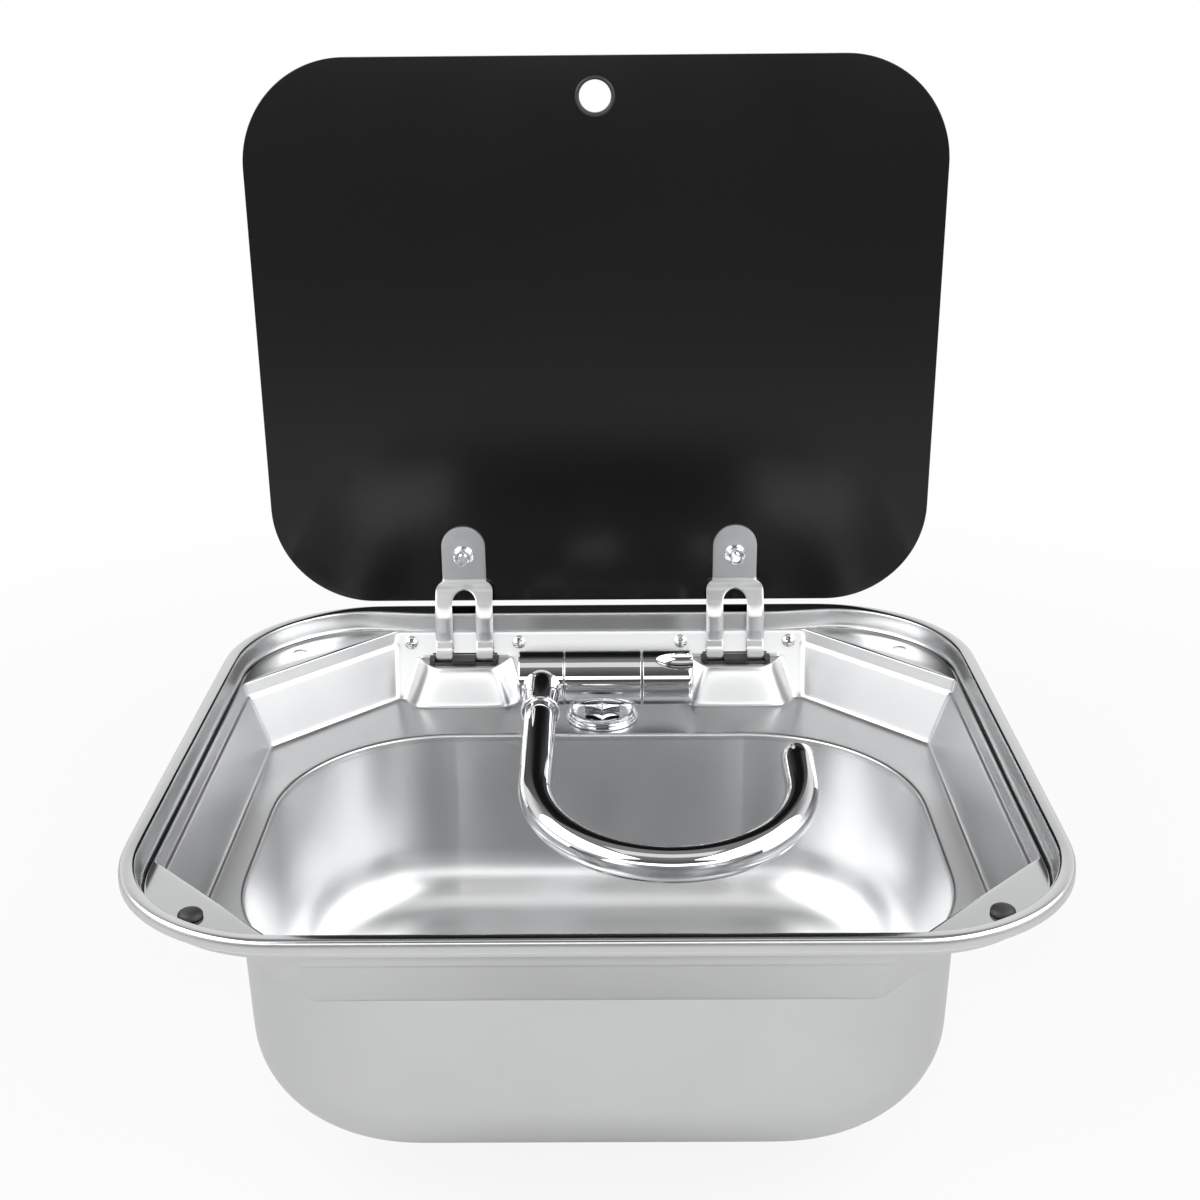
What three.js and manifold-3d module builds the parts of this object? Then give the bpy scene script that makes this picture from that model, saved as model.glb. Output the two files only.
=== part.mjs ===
// Drop-in caravan sink with a folding tap and a hinged glass lid.
// Millimetres, +Z up, +Y to the back. The origin is the centre of the rim on the worktop plane.

import * as THREE from 'three';
import { mergeVertices } from 'three/addons/utils/BufferGeometryUtils.js';
import Module from 'manifold-3d';

const wasm = await Module();
wasm.setup();

// ---------------------------------------------------------------- driving dimensions

const GAP = 0.3; // clearance kept between touching pieces
const SHEET = 1.0; // stainless sheet thickness

const RIM = { width: 420, depth: 370, cornerRadius: 80.7, foot: 1.2, crest: 6.3 };
const SEAL = { inset: 1, width: 3.8, height: 0.9 };

const LEDGE_Z = -6.5; // corner ledges that carry the bumpers
const DECK_Z = -44; // tap deck and ring round the bowl
const WALL = { backTop: 174.2, backTopZ: -7.5, backSlope: 0.461 }; // back wall leans forward as it falls

const BOWL = {
  halfWidth: 170, front: -136.5, back: 108, cornerRadius: 87,
  floorZ: -150, floorRadius: 38, draft: 1.2, flange: 5.5, lipClearance: 1.3,
};
const DRAIN = { x: 0, y: -10, recessRadius: 29.5, holeRadius: 20, floorZ: -151.4, seatZ: -153.4 };

const BUMPER = { x: 172, y: -144.5, radius: 5.7, height: 3.4, hole: 2.8 };
const LEDGE_HOLE = { x: 175, y: 143, radius: 4 };

const HINGE = {
  x: 81, pivotY: 167.2, pivotZ: -20.4, pinRadius: 1.5, pinLength: 38,
  boxTopZ: -21.5, padTopZ: -19, windowFront: 158.6, windowHalf: 19.5, legWindowTop: -15.4,
  screwOffset: 32.4, screwZ: -13, padHalf: 20.6, padFront: 157, padCorner: 3,
};
const BOX = { footHalf: 27.6, topHalf: 19.4, footFront: 144.9, topFront: 153, draft: 7.5 };
const LEAF = {
  thickness: 1.6, tabHalf: 13, tabTop: 56.4, tabY: 184.1, bendZ: 21.6, shoulderZ: 17,
  legOuter: 16.95, legInner: 7.25, archZ: 10.6, boltZ: 38.3, boltHole: 3.3,
};
const LID = {
  width: 388, bottom: 8.7, top: 322, front: 185, thickness: 5, cornerRadius: 58.5, arris: 0.6,
  fingerZ: 300.8, fingerHole: 10.3, boltHole: 3.4, grommetBore: 8.75, grommetLip: 11,
};

const TAP = { y: 132.3, z: -19.1, radius: 15.9, dip: 6.5 };
const KNUCKLE = { left: -47, right: -20.4, sleeveX: -33, sleeveRadius: 10.5, sleeveEnd: 39.5 };
const BODY = {
  left: -20, right: 24, neckX: 1.5, neckFlats: 20.1, shankRadius: 9, shankEnd: -84, waterway: 5.2,
  spigot: 7, spigotLength: 16,
};
const KNOB = { left: 24.7, right: 54 };
const THUMB = { x: 47, reach: 18.8, angle: 62, along: 15.5, across: 6.9 }; // the recess in the knob
const FOOT = { radius: 21, step: 20.2, bore: 11.9, height: 5.6 };
const SPOUT = {
  radius: 9, bore: 7.7, bendRadius: 69.5, bendStart: 110.5, mouth: 85,
  spigot: 7.2, spigotBore: 5.8, spigotStart: 19,
};

// Heights of the lid's bolts and nuts are measured from the front of the glass.
const BOLT = { capRadius: 8, capTop: -6.6, capHeight: 2.3, radius: 2.95, end: 9.6 };
const NUT = { flangeRadius: 6.2, flats: 9.6, bore: 3.2, low: 2.2, flangeTop: 3.5, top: 7.4 };
const SCREW = {
  radius: 1.95, head: 4, headHeight: 2.9, length: 8.5, recess: 2.1, nutFlats: 7, nutHeight: 3.2,
};
const BRACKET = { half: 39, inner: 20.5, foot: -11, arch: -4.2, top: 6, corner: 5, thickness: 1.5 };
const CARTRIDGE = { radius: 8.7, stem: 3.4, seat: 9, collar: 6.4, stemEnd: 41.4, back: 14.5 };
const UNDER_DECK = {
  gasket: 17, gasketHeight: 2, washer: 17.5, washerHeight: 1.5, nutFlats: 27, nutHeight: 8,
};
const WASTE = {
  flange: 29, tube: 19.6, bore: 15.4, seatBore: 17, outletZ: -188, strainerZ: -166, sealRadius: 28,
  sealHeight: 2.5, nutFlats: 52, nutHeight: 9, strainerHole: 3, strainerPitch: 9.6,
};

const CORNER_POINTS = 8; // points on each corner of a pressed outline, an even number
const DEG = Math.PI / 180;

// ---------------------------------------------------------------- materials

const finish = (color, roughness, metalness) =>
  new THREE.MeshStandardMaterial({ color, roughness, metalness });
const satinSteel = finish(0xc4c6c8, 0.34, 1);
const chrome = finish(0xe4e6e8, 0.07, 1);
const zincSteel = finish(0xaeb1b3, 0.4, 1);
const brass = finish(0xb9a05a, 0.3, 1);
const blackGlass = finish(0x0c0c0d, 0.05, 0);
const blackRubber = finish(0x171717, 0.75, 0);
const blackPlastic = finish(0x141415, 0.45, 0);
const paleSeal = finish(0xe3e3e0, 0.7, 0);
const whitePlastic = finish(0xdcdcd8, 0.5, 0);

// ---------------------------------------------------------------- shape helpers

/** Turns an indexed geometry's faces outward, if its enclosed volume comes out negative. */
function outward(geometry) {
  const { position } = geometry.attributes;
  const indices = Array.from(geometry.index.array);
  const corner = (i) => new THREE.Vector3().fromBufferAttribute(position, indices[i]);
  let volume = 0;
  for (let i = 0; i < indices.length; i += 3) {
    volume += corner(i).dot(corner(i + 1).cross(corner(i + 2)));
  }
  if (volume < 0) geometry.setIndex(indices.reverse());
  return geometry;
}

/** Joins equal rings of points. The last ring joins the first again, or both ends are capped. */
function loft(rings, joinEnds) {
  const count = rings[0].length;
  const positions = rings.flat(2);
  const indices = [];
  const last = joinEnds ? rings.length : rings.length - 1;
  for (let ring = 0; ring < last; ring++) {
    const next = (ring + 1) % rings.length;
    for (let i = 0; i < count; i++) {
      const j = (i + 1) % count;
      const [a, b, c, d] = [ring * count + i, ring * count + j, next * count + j, next * count + i];
      indices.push(a, b, c, a, c, d);
    }
  }
  if (!joinEnds) {
    const end = (rings.length - 1) * count;
    for (let i = 1; i < count - 1; i++) {
      indices.push(0, i + 1, i);
      indices.push(end, end + i, end + i + 1);
    }
  }
  const geometry = new THREE.BufferGeometry();
  geometry.setAttribute('position', new THREE.Float32BufferAttribute(positions, 3));
  geometry.setIndex(indices);
  return outward(geometry);
}

/**
 * A rectangle from -x to x and from front to back at height z. Its corners are round, or, with a
 * chamfer, cut at 45 degrees with the cut's two ends rounded. Every outline has the same points.
 */
function outline({ x, front, back, z, radius, chamfer = 0, points = CORNER_POINTS }) {
  const corners = [];
  const setBack = chamfer ? chamfer + radius * (Math.SQRT2 - 1) : radius;
  for (let corner = 0; corner < 4; corner++) {
    for (let i = 0; i < points; i++) {
      const angle = (corner + i / (points - 1)) * 90 * DEG;
      const [sideX, sideY] = [corner === 0 || corner === 3 ? 1 : -1, corner < 2 ? 1 : -1];
      const nearSide = Math.abs(Math.cos(angle)) > Math.abs(Math.sin(angle));
      const edgeY = corner < 2 ? back : front;
      const centreX = sideX * (x - (nearSide ? radius : setBack));
      const centreY = edgeY - sideY * (nearSide ? setBack : radius);
      corners.push([centreX + radius * Math.cos(angle), centreY + radius * Math.sin(angle), z]);
    }
  }
  return corners;
}

/** The same outline moved outward and in height, as the other face of a pressed sheet. */
function moved(spec, outward, rise) {
  const chamfer = spec.chamfer ? spec.chamfer + outward * (2 - Math.SQRT2) : 0;
  return {
    ...spec, chamfer, x: spec.x + outward, front: spec.front - outward, back: spec.back + outward,
    z: spec.z + rise, radius: spec.radius + outward,
  };
}

/** A pressed sheet: the outlines of its upper face, and the same outlines one thickness behind. */
function pressedSheet(specs, thickness) {
  const normal = (a, b) => {
    const run = new THREE.Vector2(b.x - a.x, b.z - a.z).normalize();
    return new THREE.Vector2(-run.y, run.x);
  };
  const under = specs.map((spec, i) => {
    const before = normal(specs[Math.max(i - 1, 0)], specs[Math.max(i, 1)]);
    const after = normal(specs[Math.min(i, specs.length - 2)], specs[Math.min(i + 1, specs.length - 1)]);
    const mean = before.clone().add(after).normalize();
    const reach = thickness / Math.max(mean.dot(before), 0.75);
    return moved(spec, mean.x * reach, mean.y * reach);
  });
  return loft([...specs, ...under.reverse()].map(outline), true);
}

/** A round piece turned about +Z from a closed profile of [radius, height] points. */
function turned(profile, segments = 24) {
  const points = [...profile, profile[0]].map(([r, z]) => new THREE.Vector2(r, z));
  return outward(new THREE.LatheGeometry(points, segments).rotateX(90 * DEG));
}

/** A turned piece with no bore: the profile runs from the axis to the axis. */
function turnedSolid(profile, segments = 24) {
  const points = profile.map(([r, z]) => new THREE.Vector2(r, z));
  return outward(new THREE.LatheGeometry(points, segments).rotateX(90 * DEG));
}

const ring = (outer, inner, low, high, segments = 24) =>
  turned([[inner, low], [outer, low], [outer, high], [inner, high]], segments);
const disc = (radius, low, high, segments = 24) =>
  turnedSolid([[0, low], [radius, low], [radius, high], [0, high]], segments);
const alongX = (geometry) => geometry.rotateY(90 * DEG);
const alongMinusY = (geometry) => geometry.rotateX(90 * DEG);
const block = (x0, x1, y0, y1, z0, z1) =>
  new THREE.BoxGeometry(x1 - x0, y1 - y0, z1 - z0).translate((x0 + x1) / 2, (y0 + y1) / 2, (z0 + z1) / 2);

/** A regular hexagon nut about +Z. */
function hexNut(acrossFlats, bore, low, high, curveSegments = 6) {
  const shape = new THREE.Shape();
  const reach = acrossFlats / Math.sqrt(3);
  for (let i = 0; i < 6; i++) {
    shape.lineTo(reach * Math.cos(i * 60 * DEG), reach * Math.sin(i * 60 * DEG));
  }
  shape.curves.shift();
  shape.holes.push(new THREE.Path().absarc(0, 0, bore, 0, 2 * Math.PI, true));
  return plate(shape, low, high, curveSegments);
}

/** A flat shape given thickness along Z. */
function plate(shape, low, high, curveSegments = 12) {
  const options = { depth: high - low, bevelEnabled: false, curveSegments };
  return new THREE.ExtrudeGeometry(shape, options).translate(0, 0, low);
}

/** Turns a plate drawn in X and Z so that its thickness runs along Y from the given height. */
const standing = (geometry) => geometry.rotateX(90 * DEG);

// ---------------------------------------------------------------- cutting and joining

function toSolid(geometry) {
  const bare = geometry.clone();
  bare.deleteAttribute('normal');
  bare.deleteAttribute('uv');
  const merged = mergeVertices(bare, 1e-4);
  const vertProperties = new Float32Array(merged.attributes.position.array);
  const kept = [];
  const index = merged.index.array;
  for (let i = 0; i < index.length; i += 3) {
    const [a, b, c] = [index[i], index[i + 1], index[i + 2]];
    if (a !== b && b !== c && c !== a) kept.push(a, b, c);
  }
  return new wasm.Manifold(new wasm.Mesh({ numProp: 3, vertProperties, triVerts: new Uint32Array(kept) }));
}

function toGeometry(solid) {
  const mesh = solid.getMesh();
  const geometry = new THREE.BufferGeometry();
  geometry.setAttribute('position', new THREE.Float32BufferAttribute(mesh.vertProperties, 3));
  geometry.setIndex(Array.from(mesh.triVerts));
  return geometry;
}

const join = (...geometries) => toGeometry(geometries.map(toSolid).reduce((a, b) => a.add(b)));
const cut = (geometry, ...tools) =>
  toGeometry(tools.map(toSolid).reduce((a, b) => a.subtract(b), toSolid(geometry)));
const overlap = (a, b) => toGeometry(toSolid(a).intersect(toSolid(b)));

// ---------------------------------------------------------------- tray

const backWallY = (z) => WALL.backTop - WALL.backSlope * (WALL.backTopZ - z);

/** Rim outlines, inset from the outer edge. */
function rimOutline(inset, z) {
  return {
    x: RIM.width / 2 - inset, front: inset - RIM.depth / 2, back: RIM.depth / 2 - inset,
    radius: RIM.cornerRadius - inset, z,
  };
}

/** Bowl outlines, inset from the edge of the opening in the deck. */
function bowlOutline(inset, z) {
  return {
    x: BOWL.halfWidth - inset, front: BOWL.front + inset, back: BOWL.back - inset,
    radius: Math.max(BOWL.cornerRadius - inset, 4), z,
  };
}

/** Recess outlines with their 45 degree corners; the corners shorten towards the deck. */
function recessOutline(x, front, z) {
  const share = (LEDGE_Z - z) / (LEDGE_Z - DECK_Z);
  const back = z < WALL.backTopZ ? backWallY(z) : WALL.backTop;
  return { x, front, back, z, radius: 12, chamfer: 77 - 13 * share };
}

function rimAndWalls() {
  return [
    rimOutline(0, RIM.foot),
    rimOutline(0.6, 4.4),
    rimOutline(3.2, RIM.crest),
    rimOutline(5.6, 4.4),
    rimOutline(7, -1.4),
    rimOutline(10.4, LEDGE_Z),
    { ...recessOutline(199.2, -174.2, LEDGE_Z), back: 174.3 },
    recessOutline(198.7, -173.6, WALL.backTopZ),
    recessOutline(197.4, -169.6, -14),
    recessOutline(196, -168.8, -14.7),
    recessOutline(186.2, -152.6, -41.6),
    { ...recessOutline(182.9, -149.2, DECK_Z), back: backWallY(DECK_Z) - 2 },
    bowlOutline(-1.5, DECK_Z),
    bowlOutline(0, DECK_Z - 1.3),
    bowlOutline(0, DECK_Z - 4),
  ];
}

/** A box that narrows upwards and widens towards the wall, drawn in by `less` all round. */
function hingeBoxBody(less, lowZ, backReach) {
  const level = (z, rounding) => {
    const share = (HINGE.boxTopZ - less - z) / (HINGE.boxTopZ - DECK_Z);
    const half = BOX.topHalf + (BOX.footHalf - BOX.topHalf) * share + rounding;
    const front = BOX.topFront + (BOX.footFront - BOX.topFront) * share - rounding;
    const spec = {
      x: half - less, front: front + less, back: backWallY(z) + backReach, z, radius: 5, points: 4,
    };
    return outline(spec).map(([x, y]) => {
      const depth = (y - front) / (backWallY(z) - front);
      return [x + Math.sign(x) * BOX.draft * Math.min(depth, 1.2), y, z];
    });
  };
  const top = HINGE.boxTopZ - less;
  const levels = [[lowZ, 0], [top - 2.4, 0.2], [top - 0.7, -0.5], [top, -1.8]];
  return loft(levels.map(([z, rounding]) => level(z, rounding)), false);
}

const wallNormal = new THREE.Vector3(0, -1, WALL.backSlope).normalize();
const WALL_TILT = Math.atan2(-wallNormal.y, wallNormal.z);

/** A place on the face of the back wall: +Z out of the wall into the tray, +Y up the wall. */
function onBackWall(object, x, z) {
  object.position.set(x, backWallY(z), z);
  object.rotation.x = WALL_TILT;
  object.updateMatrix();
  return object;
}

function trayGeometry() {
  let body = toSolid(pressedSheet(rimAndWalls(), SHEET));
  for (const side of [-1, 1]) {
    const place = (geometry) => toSolid(geometry.translate(side * HINGE.x, 0, 0));
    body = body.add(place(hingeBoxBody(0, DECK_Z - 0.5, 0.5)));
    body = body.subtract(place(hingeBoxBody(SHEET, DECK_Z - 4, 30)));
    const { windowHalf, windowFront, padTopZ } = HINGE;
    body = body.subtract(place(block(-windowHalf, windowHalf, windowFront, 176, -30, padTopZ + GAP)));
    for (const leg of [-1, 1]) {
      body = body.subtract(place(legSlot(leg, windowFront, 176, -30, HINGE.legWindowTop)));
    }
    for (const offset of [-HINGE.screwOffset, HINGE.screwOffset]) {
      const hole = disc(SCREW.radius + GAP, -6, 6, 8);
      const spot = onBackWall(new THREE.Object3D(), side * HINGE.x + offset, HINGE.screwZ);
      body = body.subtract(toSolid(hole.applyMatrix4(spot.matrix)));
    }
    const bumperHole = disc(BUMPER.hole, -12, 0, 10).translate(side * BUMPER.x, BUMPER.y, 0);
    const ledgeHole = disc(LEDGE_HOLE.radius, -12, 0, 12).translate(side * LEDGE_HOLE.x, LEDGE_HOLE.y, 0);
    body = body.subtract(toSolid(bumperHole)).subtract(toSolid(ledgeHole));
  }
  const tapHole = disc(BODY.shankRadius + 0.5, -50, -40, 18).translate(BODY.neckX, TAP.y, 0);
  return toGeometry(body.subtract(toSolid(tapHole)));
}

// ---------------------------------------------------------------- bowl

/** A near circle round the drain, with the same points as every pressed outline. */
function drainOutline(radius, z) {
  return {
    x: radius + 0.2, front: DRAIN.y - radius - 0.2, back: DRAIN.y + radius + 0.2, radius, z,
  };
}

function bowlGeometry() {
  const { flange, lipClearance, floorZ, floorRadius, draft } = BOWL;
  const flangeZ = DECK_Z - SHEET - GAP;
  const wallTop = -48;
  const wallFoot = floorZ + floorRadius;
  const draftIn = Math.tan(draft * DEG) * (wallTop - wallFoot);
  const specs = [
    bowlOutline(-flange, flangeZ),
    bowlOutline(-lipClearance - 1.4, flangeZ),
    bowlOutline(-lipClearance, wallTop),
    bowlOutline(draftIn - lipClearance, wallFoot),
  ];
  const steps = 5;
  for (let i = 1; i <= steps; i++) {
    const angle = (i / steps) * 90 * DEG;
    const inset = draftIn - lipClearance + floorRadius * (1 - Math.cos(angle));
    specs.push(bowlOutline(inset, wallFoot - floorRadius * Math.sin(angle)));
  }
  specs.push(drainOutline(DRAIN.recessRadius + 2, DRAIN.floorZ));
  specs.push(drainOutline(DRAIN.recessRadius, DRAIN.seatZ));
  specs.push(drainOutline(DRAIN.holeRadius, DRAIN.seatZ));
  return pressedSheet(specs, SHEET);
}

// ---------------------------------------------------------------- rim seal and bumpers

function sealGeometry() {
  const { inset, width, height } = SEAL;
  const edges = [
    rimOutline(inset, 0), rimOutline(inset, height),
    rimOutline(inset + width, height), rimOutline(inset + width, 0),
  ];
  return loft(edges.map(outline), true);
}

/** A domed rubber button whose stem and barb hold it in the ledge. */
function bumperGeometry() {
  const { radius, height, hole } = BUMPER;
  const base = GAP;
  const under = -SHEET - GAP;
  return turnedSolid([
    [0, under - 3], [hole - 1, under - 3], [hole + 1, under - 0.8], [hole + 1, under], [hole - GAP, under],
    [hole - GAP, base], [radius, base], [radius, base + 0.9], [radius * 0.86, base + 2.3],
    [0, base + height - 0.2],
  ], 10);
}

// ---------------------------------------------------------------- lid hinge

/** The space that one leg of a leaf swings through, between two depths and two heights. */
function legSlot(side, front, back, low, high) {
  const middle = side * (LEAF.legInner + LEAF.legOuter) / 2;
  const half = (LEAF.legOuter - LEAF.legInner) / 2 + 0.4;
  return block(middle - half, middle + half, front, back, low, high);
}

/** The hinge block: a flanged plastic body in the tray's window, slotted for the two legs. */
function hingeBlockGeometry() {
  const { pivotY, pivotZ, padTopZ, boxTopZ, windowFront, windowHalf, pinRadius } = HINGE;
  const { padHalf, padFront, padCorner } = HINGE;
  const bodyHalf = windowHalf - GAP;
  const flangeShape = new THREE.Shape();
  flangeShape.moveTo(padHalf, backWallY(boxTopZ) - 0.5);
  flangeShape.lineTo(-padHalf, backWallY(boxTopZ) - 0.5);
  flangeShape.absarc(padCorner - padHalf, padFront + padCorner, padCorner, Math.PI, 1.5 * Math.PI, false);
  flangeShape.absarc(padHalf - padCorner, padFront + padCorner, padCorner, 1.5 * Math.PI, 2 * Math.PI, false);
  const flange = plate(flangeShape, boxTopZ + GAP, padTopZ, 4);
  const body = block(-bodyHalf, bodyHalf, windowFront + GAP, 173, -27.5, padTopZ);
  const slots = [-1, 1].map((side) => legSlot(side, windowFront - 0.3, 172, -24.6, padTopZ + 1));
  const notches = [-1, 1].map((side) => legSlot(side, padFront - 1, windowFront, padTopZ - 1.4, padTopZ + 1));
  const bore = alongX(disc(pinRadius + GAP, -30, 30, 12)).translate(0, pivotY, pivotZ);
  return cut(join(flange, body), ...slots, ...notches, bore);
}

/** Side view of a leaf: from the eye round the pin, over the rim and up the face of the glass. */
function leafSideShape() {
  const { pivotY, pivotZ, pinRadius } = HINGE;
  const half = LEAF.thickness / 2;
  const curve = new THREE.SplineCurve([
    new THREE.Vector2(pivotY - pinRadius - GAP - half, pivotZ), new THREE.Vector2(166.3, -14.8),
    new THREE.Vector2(169.8, -9.6), new THREE.Vector2(172.3, -3.6), new THREE.Vector2(173.9, 4.4),
    new THREE.Vector2(177.4, 12), new THREE.Vector2(182.2, 17.2), new THREE.Vector2(LEAF.tabY, LEAF.bendZ),
  ]);
  const centres = curve.getSpacedPoints(10);
  centres.push(new THREE.Vector2(LEAF.tabY, LEAF.tabTop + 1));
  const sides = [1, -1].map((side) => centres.map((point, i) => {
    const run = centres[Math.min(i + 1, centres.length - 1)].clone().sub(centres[Math.max(i - 1, 0)]);
    const across = new THREE.Vector2(-run.y, run.x).normalize();
    return point.clone().addScaledVector(across, side * half);
  }));
  return new THREE.Shape([...sides[0], ...sides[1].reverse()]);
}

/** Front view of a leaf: round-topped tab, shoulders and two legs beside an arched slot. */
function leafFrontShape() {
  const { tabHalf, tabTop, bendZ, shoulderZ, legOuter, legInner, archZ } = LEAF;
  const foot = -26;
  const shape = new THREE.Shape();
  shape.moveTo(legOuter, foot);
  shape.lineTo(legOuter, shoulderZ);
  shape.quadraticCurveTo(legOuter, shoulderZ + 2.6, tabHalf + 0.9, bendZ - 0.4);
  shape.lineTo(tabHalf, bendZ + 1);
  shape.lineTo(tabHalf, tabTop - tabHalf);
  shape.absarc(0, tabTop - tabHalf, tabHalf, 0, Math.PI, false);
  shape.lineTo(-tabHalf, bendZ + 1);
  shape.lineTo(-tabHalf - 0.9, bendZ - 0.4);
  shape.quadraticCurveTo(-legOuter, shoulderZ + 2.6, -legOuter, shoulderZ);
  shape.lineTo(-legOuter, foot);
  shape.lineTo(-legInner, foot);
  shape.lineTo(-legInner, archZ);
  shape.absarc(0, archZ, legInner, Math.PI, 0, true);
  shape.lineTo(legInner, foot);
  return shape;
}

function hingeLeafGeometry() {
  const strip = plate(leafSideShape(), -20, 20).applyMatrix4(new THREE.Matrix4().makeBasis(
    new THREE.Vector3(0, 1, 0), new THREE.Vector3(0, 0, 1), new THREE.Vector3(1, 0, 0)));
  const { pivotY, pivotZ, pinRadius } = HINGE;
  const eyeBore = pinRadius + GAP;
  const eye = alongX(disc(eyeBore + LEAF.thickness, -20, 20, 12)).translate(0, pivotY, pivotZ);
  const front = standing(plate(leafFrontShape(), -200, -140, 5));
  const bore = alongX(disc(eyeBore, -21, 21, 10)).translate(0, pivotY, pivotZ);
  const boltHole = standing(disc(LEAF.boltHole, -200, -140, 12)).translate(0, 0, LEAF.boltZ);
  return cut(overlap(join(strip, eye), front), bore, boltHole);
}

/** The steel plate behind the back wall, arched over the hinge block. */
function hingeBracketGeometry() {
  const { half, inner, foot, arch, top, corner, thickness } = BRACKET;
  const shape = new THREE.Shape();
  shape.moveTo(inner, foot);
  shape.lineTo(half, foot);
  shape.lineTo(half, top - corner);
  shape.absarc(half - corner, top - corner, corner, 0, Math.PI / 2, false);
  shape.lineTo(corner - half, top);
  shape.absarc(corner - half, top - corner, corner, Math.PI / 2, Math.PI, false);
  shape.lineTo(-half, foot);
  shape.lineTo(-inner, foot);
  shape.lineTo(-inner, arch);
  shape.lineTo(inner, arch);
  for (const x of [-HINGE.screwOffset, HINGE.screwOffset]) {
    shape.holes.push(new THREE.Path().absarc(x, 0, SCREW.radius + GAP, 0, 2 * Math.PI, true));
  }
  const back = -SHEET - GAP;
  return plate(shape, back - thickness, back, 4);
}

/** A cross-recess screw with a domed head, its shank pointing down -Z. */
function screwGeometry() {
  const { radius, head, headHeight, length, recess } = SCREW;
  const screw = turnedSolid([
    [0, -length], [radius - 0.45, -length], [radius, 0.5 - length], [radius, GAP], [head, GAP],
    [head, GAP + 0.8], [head - 0.6, headHeight - 0.8], [0, headHeight],
  ], 9);
  const slot = (halfX, halfY) => block(-halfX, halfX, -halfY, halfY, headHeight - 1.2, headHeight + 1);
  return cut(screw, slot(recess, 0.45), slot(0.45, recess));
}

// ---------------------------------------------------------------- glass lid

function glassGeometry() {
  const half = LID.width / 2 - LID.arris;
  const [low, high] = [LID.bottom + LID.arris, LID.top - LID.arris];
  const r = LID.cornerRadius - LID.arris;
  const shape = new THREE.Shape();
  shape.absarc(half - r, high - r, r, 0, Math.PI / 2, false);
  shape.absarc(r - half, high - r, r, Math.PI / 2, Math.PI, false);
  shape.absarc(r - half, low + r, r, Math.PI, 1.5 * Math.PI, false);
  shape.absarc(half - r, low + r, r, 1.5 * Math.PI, 2 * Math.PI, false);
  const options = {
    depth: LID.thickness - 2 * LID.arris, curveSegments: 6,
    bevelThickness: LID.arris, bevelSize: LID.arris, bevelSegments: 1,
  };
  const sheet = new THREE.ExtrudeGeometry(shape, options).rotateX(90 * DEG);
  sheet.translate(0, LID.front + LID.thickness - LID.arris, 0);
  const through = (x, z, radius, segments) => standing(disc(radius, -220, -160, segments)).translate(x, 0, z);
  return cut(
    sheet, through(0, LID.fingerZ, LID.fingerHole, 18),
    through(-HINGE.x, LEAF.boltZ, LID.boltHole, 10), through(HINGE.x, LEAF.boltZ, LID.boltHole, 10));
}

/** The rubber ring in the finger hole: a sleeve with a lip on each face of the glass. */
function grommetGeometry() {
  const { grommetBore: bore, grommetLip: lip } = LID;
  const sleeve = LID.fingerHole - GAP;
  const half = LID.thickness / 2 + GAP;
  return turned([
    [bore + 0.4, -half - 1.1], [lip - 0.5, -half - 1.1], [lip, -half], [sleeve, -half], [sleeve, half],
    [lip, half], [lip - 0.5, half + 1.1], [bore + 0.4, half + 1.1],
  ], 14);
}

// The lid's fixings are turned about Y through the bolt hole, heights measured from the glass front.

/** A bolt with a low round cap behind the glass and its threaded end in front of the nut. */
function lidBoltGeometry() {
  const { capRadius, capTop, capHeight, radius, end } = BOLT;
  const base = capTop - capHeight;
  return turnedSolid([
    [0, base], [capRadius - 1.6, base], [capRadius, base + 0.8], [capRadius, capTop], [radius, capTop],
    [radius, end - 0.5], [radius - 0.45, end], [0, end],
  ], 12);
}
const lidWasherGeometry = () =>
  ring(BOLT.capRadius + 0.6, LID.boltHole, BOLT.capTop + GAP, -LID.thickness - GAP, 14);

/** A hexagon nut on a round flange. */
function flangeNutGeometry() {
  const { flangeRadius: flange, flats, bore, low, flangeTop, top } = NUT;
  const rim = turned([
    [bore, low], [flange, low], [flange, low + 0.6], [flange - 1, flangeTop], [bore, flangeTop],
  ], 10);
  return join(rim, hexNut(flats, bore, flangeTop - 0.1, top, 4));
}

// ---------------------------------------------------------------- tap

/** Stepped ring at the foot of the tap, dished round the neck. */
function baseRingGeometry() {
  const { radius, step, bore, height } = FOOT;
  const top = DECK_Z + height;
  return turned([
    [bore, DECK_Z + GAP], [radius, DECK_Z + GAP], [radius, DECK_Z + 1.7], [step, DECK_Z + 2.3],
    [step, top - 2.2], [step - 1.8, top], [step - 2.8, top], [step - 5, top - 1.6], [bore, top - 2.2],
  ], 24);
}

/** Tap body: a cylinder along X, a hexagon neck, and the threaded shank below the deck. */
function tapBodyGeometry() {
  const length = BODY.right - BODY.left;
  const barrel = alongX(turnedSolid([
    [0, 0], [TAP.radius - 0.5, 0], [TAP.radius, 0.5], [TAP.radius, length - 0.5], [TAP.radius - 0.5, length],
    [0, length],
  ], 24)).translate(BODY.left, 0, TAP.z);
  const spigot = alongX(disc(BODY.spigot, -BODY.spigotLength, 1, 16)).translate(BODY.left, 0, TAP.z);
  const neck = hexNut(BODY.neckFlats, 1, DECK_Z + 1.5, TAP.z).rotateZ(30 * DEG).translate(BODY.neckX, 0, 0);
  const shank = disc(BODY.shankRadius, BODY.shankEnd, TAP.z, 18).translate(BODY.neckX, 0, 0);
  const waterway = disc(BODY.waterway, BODY.shankEnd - 1, DECK_Z - 4, 12).translate(BODY.neckX, 0, 0);
  const seatRadius = CARTRIDGE.radius + GAP;
  const seat = alongX(disc(seatRadius, -CARTRIDGE.back - 1.5, 1, 16)).translate(BODY.right, 0, TAP.z);
  return cut(join(barrel, spigot, neck, shank), waterway, seat);
}

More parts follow.
